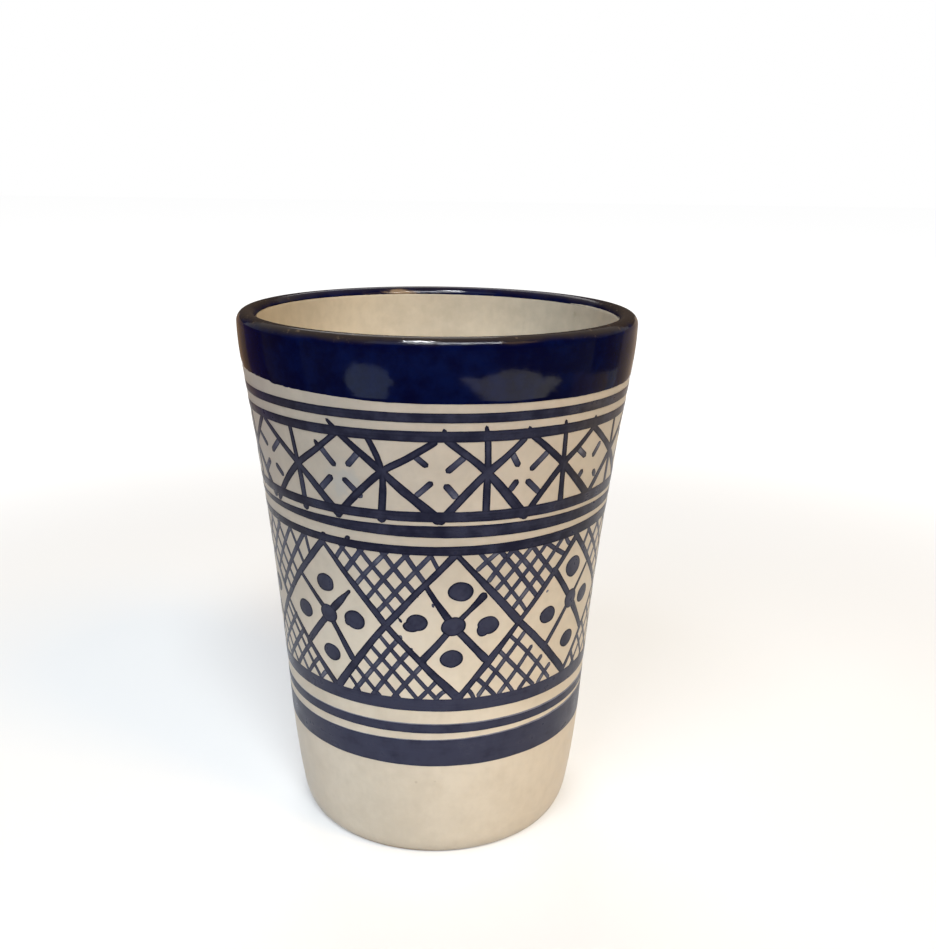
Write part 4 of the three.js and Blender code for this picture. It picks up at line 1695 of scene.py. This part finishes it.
@dataclass(frozen=True)
class BlueBrushwork(Finish):
    """Slate-blue colour laid on with a brush: paler where it ran thin, darker at its dried edge."""

    name: str
    deep: Colour
    full: Colour
    wash: Colour
    wash_to_full: Spot = (0.2, 0.95)
    full_to_deep: Spot = (0.95, 1.6)
    edge: Spot = (0.05 * MM, 0.42 * MM)
    hair_pace: float = 90.0
    hairs: float = 4.0
    pool_scale: float = 260.0
    streak_and_pool: Spot = (0.22, 0.78)
    unevenness: float = 1.2
    roughness: Spot = (0.26, 0.38)
    specular: float = 0.12

    def material(self) -> Material:
        """Builds the finish.

        Returns:
            Its material.
        """
        material, g, shader, place = self.start()
        ink, along, across, radius, outline = (
            g.add("ShaderNodeAttribute", attribute_name=name).outputs["Fac"]
            for name in ("ink", "along", "across", "brush_radius", "outline")
        )
        hairs = g.combine(
            g.math("MULTIPLY", along, self.hair_pace), g.math("MULTIPLY", across, self.hairs), ink)
        streak = g.noise(hairs, 1.0, 1.0, 0.5).outputs[0]
        pool = g.noise(place, self.pool_scale, 3.0, 0.6).outputs[0]
        layers = zip((streak, pool), self.streak_and_pool)
        uneven = g.math("ADD", *(g.math("MULTIPLY", layer, share) for layer, share in layers))
        inside = g.math("MULTIPLY", g.math("SUBTRACT", 1.0, g.math("ABSOLUTE", across)), radius)
        edge = g.math("MULTIPLY", outline, g.ramp(inside, *self.edge, 1.0, 0.0))
        load = g.math("ADD", ink, g.math("MULTIPLY", g.centred(uneven), self.unevenness))
        load = g.math("ADD", load, edge)
        colour = self.blend(g, g.ramp(load, *self.wash_to_full), self.wash, self.full)
        colour = self.blend(g, g.ramp(load, *self.full_to_deep), colour, self.deep)
        g.feed(shader, "Base Color", colour)
        g.feed(shader, "Roughness", g.ramp(uneven, *NOISE_RANGE, *self.roughness))
        shader.inputs["Specular IOR Level"].default_value = self.specular
        return material


@dataclass(frozen=True)
class BareClay(Finish):
    """Fired buff-red clay: gritty, with arcs where a wire cut it off the wheel."""

    name: str
    colour: Colour
    dark: Colour
    grit: Colour
    cloud_scale: float = 120.0
    dark_to_full: Spot = (0.35, 0.65)
    grain_scale: float = 1800.0
    grit_edge: Spot = (0.62, 0.7)
    grit_strength: float = 0.5
    arc_offset: Triple = (0.05, 0.02, 0.0)
    arc_scale: float = 160.0
    arc_bend: float = 2.0
    arc_share: float = 0.8
    roughness: float = 0.85
    specular: float = 0.2
    bump: Spot = (0.6, 0.2 * MM)

    def material(self) -> Material:
        """Builds the finish.

        Returns:
            Its material.
        """
        material, g, shader, place = self.start()
        cloud = g.noise(place, self.cloud_scale, 4.0, 0.6).outputs[0]
        grain = g.noise(place, self.grain_scale, 3.0, 0.6).outputs[0]
        colour = self.blend(g, g.ramp(cloud, *self.dark_to_full), self.dark, self.colour)
        gritty = g.math("MULTIPLY", g.ramp(grain, *self.grit_edge), self.grit_strength)
        g.feed(shader, "Base Color", self.blend(g, gritty, colour, self.grit))
        shader.inputs["Roughness"].default_value = self.roughness
        shader.inputs["Specular IOR Level"].default_value = self.specular
        centre = g.vector("ADD", place, self.arc_offset)
        cut = {"Vector": centre, "Scale": self.arc_scale, "Distortion": self.arc_bend}
        arcs = g.add("ShaderNodeTexWave", cut, wave_type="RINGS", rings_direction="Z").outputs[1]
        height = g.math("ADD", grain, g.math("MULTIPLY", arcs, self.arc_share))
        self.relief(g, height, *self.bump, shader)
        return material


@dataclass(frozen=True)
class Lamp:
    """A soft rectangular lamp that faces the cup at a height: its place, size, watts and colour."""

    name: str
    place: Triple
    size: Spot
    power: float
    colour: Triple
    aim: float = 0.06

    def hang(self) -> Object:
        """Hangs the lamp.

        Returns:
            The lamp.
        """
        data = bpy.data.lights.new(self.name, "AREA")
        data.shape = "RECTANGLE"
        data.size, data.size_y = self.size
        data.energy, data.color = self.power, self.colour
        lamp = bpy.data.objects.new(self.name, data)
        lamp.visible_camera = False
        facing = Vector((0.0, 0.0, self.aim)) - Vector(self.place)
        turned = facing.to_track_quat("-Z", "Y").to_matrix().to_4x4()
        lamp.matrix_world = Matrix.Translation(self.place) @ turned
        bpy.context.scene.collection.objects.link(lamp)
        return lamp


@dataclass(frozen=True)
class Beam(Lamp):
    """A narrow lamp that lights one side and isn't mirrored."""

    spread: float = math.radians(42.0)

    def hang(self) -> Object:
        """Hangs the lamp and narrows it.

        Returns:
            The lamp.
        """
        lamp = super().hang()
        lamp.data.spread = self.spread
        lamp.visible_glossy = False
        return lamp


@dataclass(frozen=True)
class MirroredLamp(Lamp):
    """A lamp, brighter at some spots of its face than others, that only shows in a gloss."""

    def strength(self, g: Graph, spot: NodeSocket) -> NodeSocket:
        """Returns how bright the lamp is at a spot of its face."""
        raise NotImplementedError

    def hang(self) -> Object:
        """Hangs the lamp and sets its brightness.

        Returns:
            The lamp.
        """
        lamp = super().hang()
        lamp.visible_diffuse = False
        lamp.data.use_nodes = True
        g = Graph(lamp.data.node_tree)
        spot = g.add("ShaderNodeNewGeometry").outputs["Parametric"]
        g.feed(g.tree.nodes["Emission"], "Strength", self.strength(g, spot))
        return lamp


@dataclass(frozen=True)
class Glint(MirroredLamp):
    """A patchy lamp that shows as a broken glint along the lip."""

    colour: Triple = (0.94, 0.98, 1.0)
    patch_scale: float = 9.0
    patch_edge: Spot = (0.45, 0.58)
    dim_and_bright: Spot = (0.1, 1.8)

    def strength(self, g: Graph, spot: NodeSocket) -> NodeSocket:
        """Returns how bright the lamp is at a spot of its face."""
        patchy = g.noise(spot, self.patch_scale, 2.0, 0.5).outputs[0]
        return g.ramp(patchy, *self.patch_edge, *self.dim_and_bright)


@dataclass(frozen=True)
class Card(MirroredLamp):
    """A torn bright card whose sides come to a point, the sharper the higher its point number."""

    aim: float = 0.1
    point: float = 0.42
    tear: float = 0.35
    tear_scale: float = 5.0
    edge: Spot = (0.38, 0.42)

    def strength(self, g: Graph, spot: NodeSocket) -> NodeSocket:
        """Cuts the card out.

        Args:
            g: The lamp's graph.
            spot: A spot of its face.

        Returns:
            1 on the card and 0 off it.
        """
        off = g.vector("ABSOLUTE", g.vector("SUBTRACT", spot, (0.5, 0.5, 0.0)))
        across, down, _ = g.split(off)
        pointed = g.math("MULTIPLY_ADD", down, self.point, across)
        torn = g.waver(spot, self.tear_scale, 3.0)
        reach = g.math("MULTIPLY_ADD", torn, self.tear, g.math("MAXIMUM", pointed, down))
        return g.ramp(reach, *self.edge, 1.0, 0.0)


@dataclass(frozen=True)
class Panel:
    """A flat four-cornered piece of the stage."""

    name: str
    finish: str
    corners: tuple[Triple, ...]

    def make(self) -> tuple[Object, Graph]:
        """Makes the panel, with an empty finish.

        Returns:
            The panel and its finish's graph.
        """
        mesh = bpy.data.meshes.new(self.name)
        mesh.from_pydata(self.corners, [], [(0, 1, 2, 3)])
        material = bpy.data.materials.new(self.finish)
        material.use_nodes = True
        material.node_tree.nodes.clear()
        mesh.materials.append(material)
        piece = bpy.data.objects.new(self.name, mesh)
        bpy.context.scene.collection.objects.link(piece)
        return piece, Graph(material.node_tree)


@dataclass(frozen=True)
class Flag:
    """A plain upright flag by the cup that only shows where a glaze mirrors it.

    It stands from one spot of the floor to another, between two heights.
    """

    name: str
    first: Spot
    last: Spot
    heights: Spot
    tone: Colour

    def stand(self) -> None:
        """Stands the flag."""
        low, high = self.heights
        first, last = self.first, self.last
        corners = ((*first, low), (*last, low), (*last, high), (*first, high))
        flag, g = Panel(self.name, self.name, corners).make()
        glow = g.add("ShaderNodeEmission", {"Color": self.tone}).outputs[0]
        g.add("ShaderNodeOutputMaterial", {"Surface": glow})
        for ray in ("camera", "diffuse", "shadow", "transmission"):
            setattr(flag, f"visible_{ray}", False)


@dataclass
class Studio:
    """Camera, lamps, floor and white surround, with cards and flags for the glazes to mirror."""

    glossy: Object
    camera_place: Triple = (0.0, -0.2199, 0.1385)
    pitch: float = 16.312
    yaw: float = 1.728
    roll: float = 0.839
    focal_pixels: float = 1060.16
    sensor: float = 36.0
    clip_start: float = 0.01
    floor_size: float = 8.0
    near_tone: float = 0.55
    far_tone: float = 0.4
    tone_reach: Spot = (0.1, 0.3)
    near_glow: float = 0.32
    middle_glow: float = 0.74
    far_glow: float = 0.96
    glow_reach: Triple = (0.14, 0.4, 1.6)
    sky: float = 0.06
    lamps: tuple[Lamp, ...] = (
        Lamp("front_lamp", (0.15, -0.75, 1.0), (0.35, 0.35), 10.4, (0.9, 0.98, 1.0)),
        Lamp("warm_lamp", (0.6, -0.45, 0.85), (0.3, 0.3), 5.0, (1.0, 0.58, 0.15)),
        Lamp("cool_lamp", (-0.4, -0.68, 0.95), (0.5, 0.5), 6.6, (0.79, 0.87, 1.0)),
        Lamp("back_lamp", (-0.1, 0.75, 0.85), (0.5, 0.5), 5.0, (1.0, 0.98, 0.95)),
        Beam("cool_beam_lamp", (0.21, 0.1, 0.088), (0.06, 0.03), 0.009, (0.6, 0.88, 1.0), 0.084),
        Glint("near_glint_lamp", (0.042, -0.2, 0.4), (0.26, 0.11), 14.0),
        Glint("far_glint_lamp", (-0.04, -0.11, 0.43), (0.06, 0.07), 10.0),
    )
    cards: tuple[Card, ...] = (
        Card("left_card", (-0.091, -0.131, 0.049), (0.088, 0.05), 0.179, (0.69, 0.85, 1.0)),
        Card("right_card", (0.098, -0.125, 0.0455), (0.205, 0.047), 0.43, (1.0, 0.97, 0.76),
             point=0.85),
    )
    flags: tuple[Flag, ...] = (
        Flag("left_near_flag", (-0.2, -0.06), (-0.2, 0.05), (0.0, 0.13), (0.52, 0.4, 0.2, 1.0)),
        Flag("left_dark_flag", (-0.2, 0.05), (-0.2, 0.165), (0.0, 0.13), (0.23, 0.14, 0.26, 1.0)),
        Flag("left_brown_flag", (-0.2, 0.165), (-0.2, 0.48), (0.0, 0.13), (0.52, 0.33, 0.2, 1.0)),
        Flag("right_low_flag", (0.2, -0.05), (0.2, 0.06), (0.0, 0.0445), (1.9, 1.45, 0.8, 1.0)),
        Flag("right_dark_flag", (0.2, -0.01), (0.2, 0.105), (0.046, 0.13), (0.4, 0.3, 0.2, 1.0)),
        Flag("right_brown_flag", (0.2, 0.105), (0.2, 0.48), (0.0, 0.13), (0.75, 0.56, 0.4, 1.0)),
        Flag("back_flag", (-0.5, 0.5), (0.5, 0.5), (0.0, 0.4), (0.1, 0.075, 0.06, 1.0)),
    )

    def build(self) -> None:
        """Builds the whole stage, with cards that only the glossy piece mirrors."""
        self.camera()
        self.floor()
        self.surround()
        for lamp in self.lamps:
            lamp.hang()
        for card in self.cards:
            mirror = bpy.data.collections.new(card.name)
            mirror.objects.link(self.glossy)
            card.hang().light_linking.receiver_collection = mirror
        for flag in self.flags:
            flag.stand()

    def camera(self) -> None:
        """Sets the camera that was fitted to the photograph."""
        pitch, yaw, roll = (math.radians(a) for a in (self.pitch, self.yaw, self.roll))
        level = Vector((math.cos(yaw), -math.sin(yaw), 0.0))
        forward = Vector((math.sin(yaw), math.cos(yaw), 0.0))
        ahead = forward * math.cos(pitch) - Vector((0.0, 0.0, math.sin(pitch)))
        lift = level.cross(ahead)
        right = level * math.cos(roll) + lift * math.sin(roll)
        up = lift * math.cos(roll) - level * math.sin(roll)
        data = bpy.data.cameras.new("camera")
        data.sensor_width = self.sensor
        data.lens = self.focal_pixels * self.sensor / PHOTO_LONG_SIDE
        data.clip_start = self.clip_start
        camera = bpy.data.objects.new("camera", data)
        turned = Matrix((right, up, -ahead)).transposed().to_4x4()
        camera.matrix_world = Matrix.Translation(self.camera_place) @ turned
        bpy.context.scene.collection.objects.link(camera)
        bpy.context.scene.camera = camera

    def floor(self) -> None:
        """Lays a plain pale floor that keeps the cup's shadow."""
        half = self.floor_size / 2
        corners = ((-half, -half, 0.0), (half, -half, 0.0), (half, half, 0.0), (-half, half, 0.0))
        _, g = Panel("floor", "pale_floor", corners).make()
        away = g.length(g.add("ShaderNodeTexCoord").outputs["Object"])
        tone = g.ramp(away, *self.tone_reach, self.near_tone, self.far_tone)
        paint = g.add("ShaderNodeBsdfDiffuse", {"Color": g.combine(tone, tone, tone)}).outputs[0]
        near, middle, far = self.glow_reach
        glow = g.ramp(away, near, middle, self.near_glow, self.middle_glow)
        more = g.ramp(away, middle, far, 0.0, self.far_glow - self.middle_glow)
        light = g.math("MULTIPLY", self.seen(g), g.math("ADD", glow, more))
        glow = g.add("ShaderNodeEmission", {"Strength": light}).outputs[0]
        both = g.add("ShaderNodeAddShader", {0: paint, 1: glow}).outputs[0]
        g.add("ShaderNodeOutputMaterial", {"Surface": both})

    def surround(self) -> None:
        """Sets a white surround that lights the cup softly."""
        world = bpy.data.worlds.new("white_surround")
        world.use_nodes = True
        bpy.context.scene.world = world
        g = Graph(world.node_tree)
        background = g.tree.nodes["Background"]
        background.inputs["Color"].default_value = (1.0, 1.0, 1.0, 1.0)
        g.feed(background, "Strength", g.math("MAXIMUM", self.seen(g), self.sky))

    @staticmethod
    def seen(g: Graph) -> NodeSocket:
        """Tells where a thing is looked at from where it only gives light.

        Args:
            g: The graph that asks.

        Returns:
            1 where the camera, a gloss or a glass looks, and 0 where light is gathered.
        """
        path = g.add("ShaderNodeLightPath").outputs
        mirrored = g.math("MAXIMUM", path["Is Glossy Ray"], path["Is Transmission Ray"])
        return g.math("MAXIMUM", path["Is Camera Ray"], mirrored)


def main() -> None:
    """Builds the cup and its stage."""
    logging.basicConfig(level=logging.INFO, format="%(name)s %(message)s")
    bpy.context.scene.view_settings.view_transform = "Standard"
    cream = CreamGlaze(
        name="cream_glaze_outside",
        colour=(0.735, 0.652, 0.535, 1.0),
        thin=(0.635, 0.555, 0.445, 1.0),
        haze_and_painted_shade=(0.496, 0.434, 0.364, 1.0),
        mark=(0.40, 0.40, 0.39, 1.0),
        mark_place=(-0.0172, -0.0338, 0.0826),
        mark_reach=5 * MM,
    ).material()
    # The inside is the same cream glaze painted darker all over: painted shade of the inside of the
    # cup.
    lining = CreamGlaze(
        name="cream_glaze_inside",
        colour=(0.55, 0.482, 0.366, 1.0),
        thin=(0.41, 0.36, 0.27, 1.0),
        haze_and_painted_shade=(0.49, 0.43, 0.336, 1.0),
        # The pit's darker colour is painted shade; its dent comes from the bump.
        mark=(0.36, 0.31, 0.23, 1.0),
        mark_place=(0.0309, 0.0200, 0.1062),
        mark_reach=0.7 * MM,
        mark_depth=12.0,
        haze_and_shade_spread=(0.88, 1.12),
    ).material()
    cobalt = CobaltGlaze(
        name="cobalt_glaze",
        deep=(0.0, 0.0004, 0.018, 1.0),
        pale=(0.0005, 0.0035, 0.037, 1.0),
        burnt_and_reflected_brown=(0.024, 0.018, 0.016, 1.0),
        bare=(0.27, 0.19, 0.12, 1.0),
    ).material()
    blue = BlueBrushwork(
        name="blue_brushwork",
        deep=(0.003, 0.0035, 0.018, 1.0),
        full=(0.037, 0.04, 0.074, 1.0),
        wash=(0.21, 0.22, 0.28, 1.0),
    ).material()
    clay = BareClay(
        name="bare_clay",
        colour=(0.56, 0.40, 0.27, 1.0),
        dark=(0.47, 0.32, 0.2, 1.0),
        grit=(0.7, 0.56, 0.42, 1.0),
    ).material()
    shells = TurnedShells()
    stand_for(shells.clay(clay), Slot.CLAY, "earthenware_body")
    wall = shells.outside(cream)
    stand_for(wall, Slot.CREAM, "outside_glaze")
    stand_for(shells.lining(lining), Slot.LINING, "lining_glaze")
    rim = shells.rim(cobalt)
    stand_for(rim, Slot.COBALT, "rim_glaze")
    brush = Brush(wall, blue)
    Rings(brush).build()
    UpperFrieze(brush).build()
    LowerFrieze(brush).build()
    Studio(rim).build()


if __name__ == "__main__":
    main()
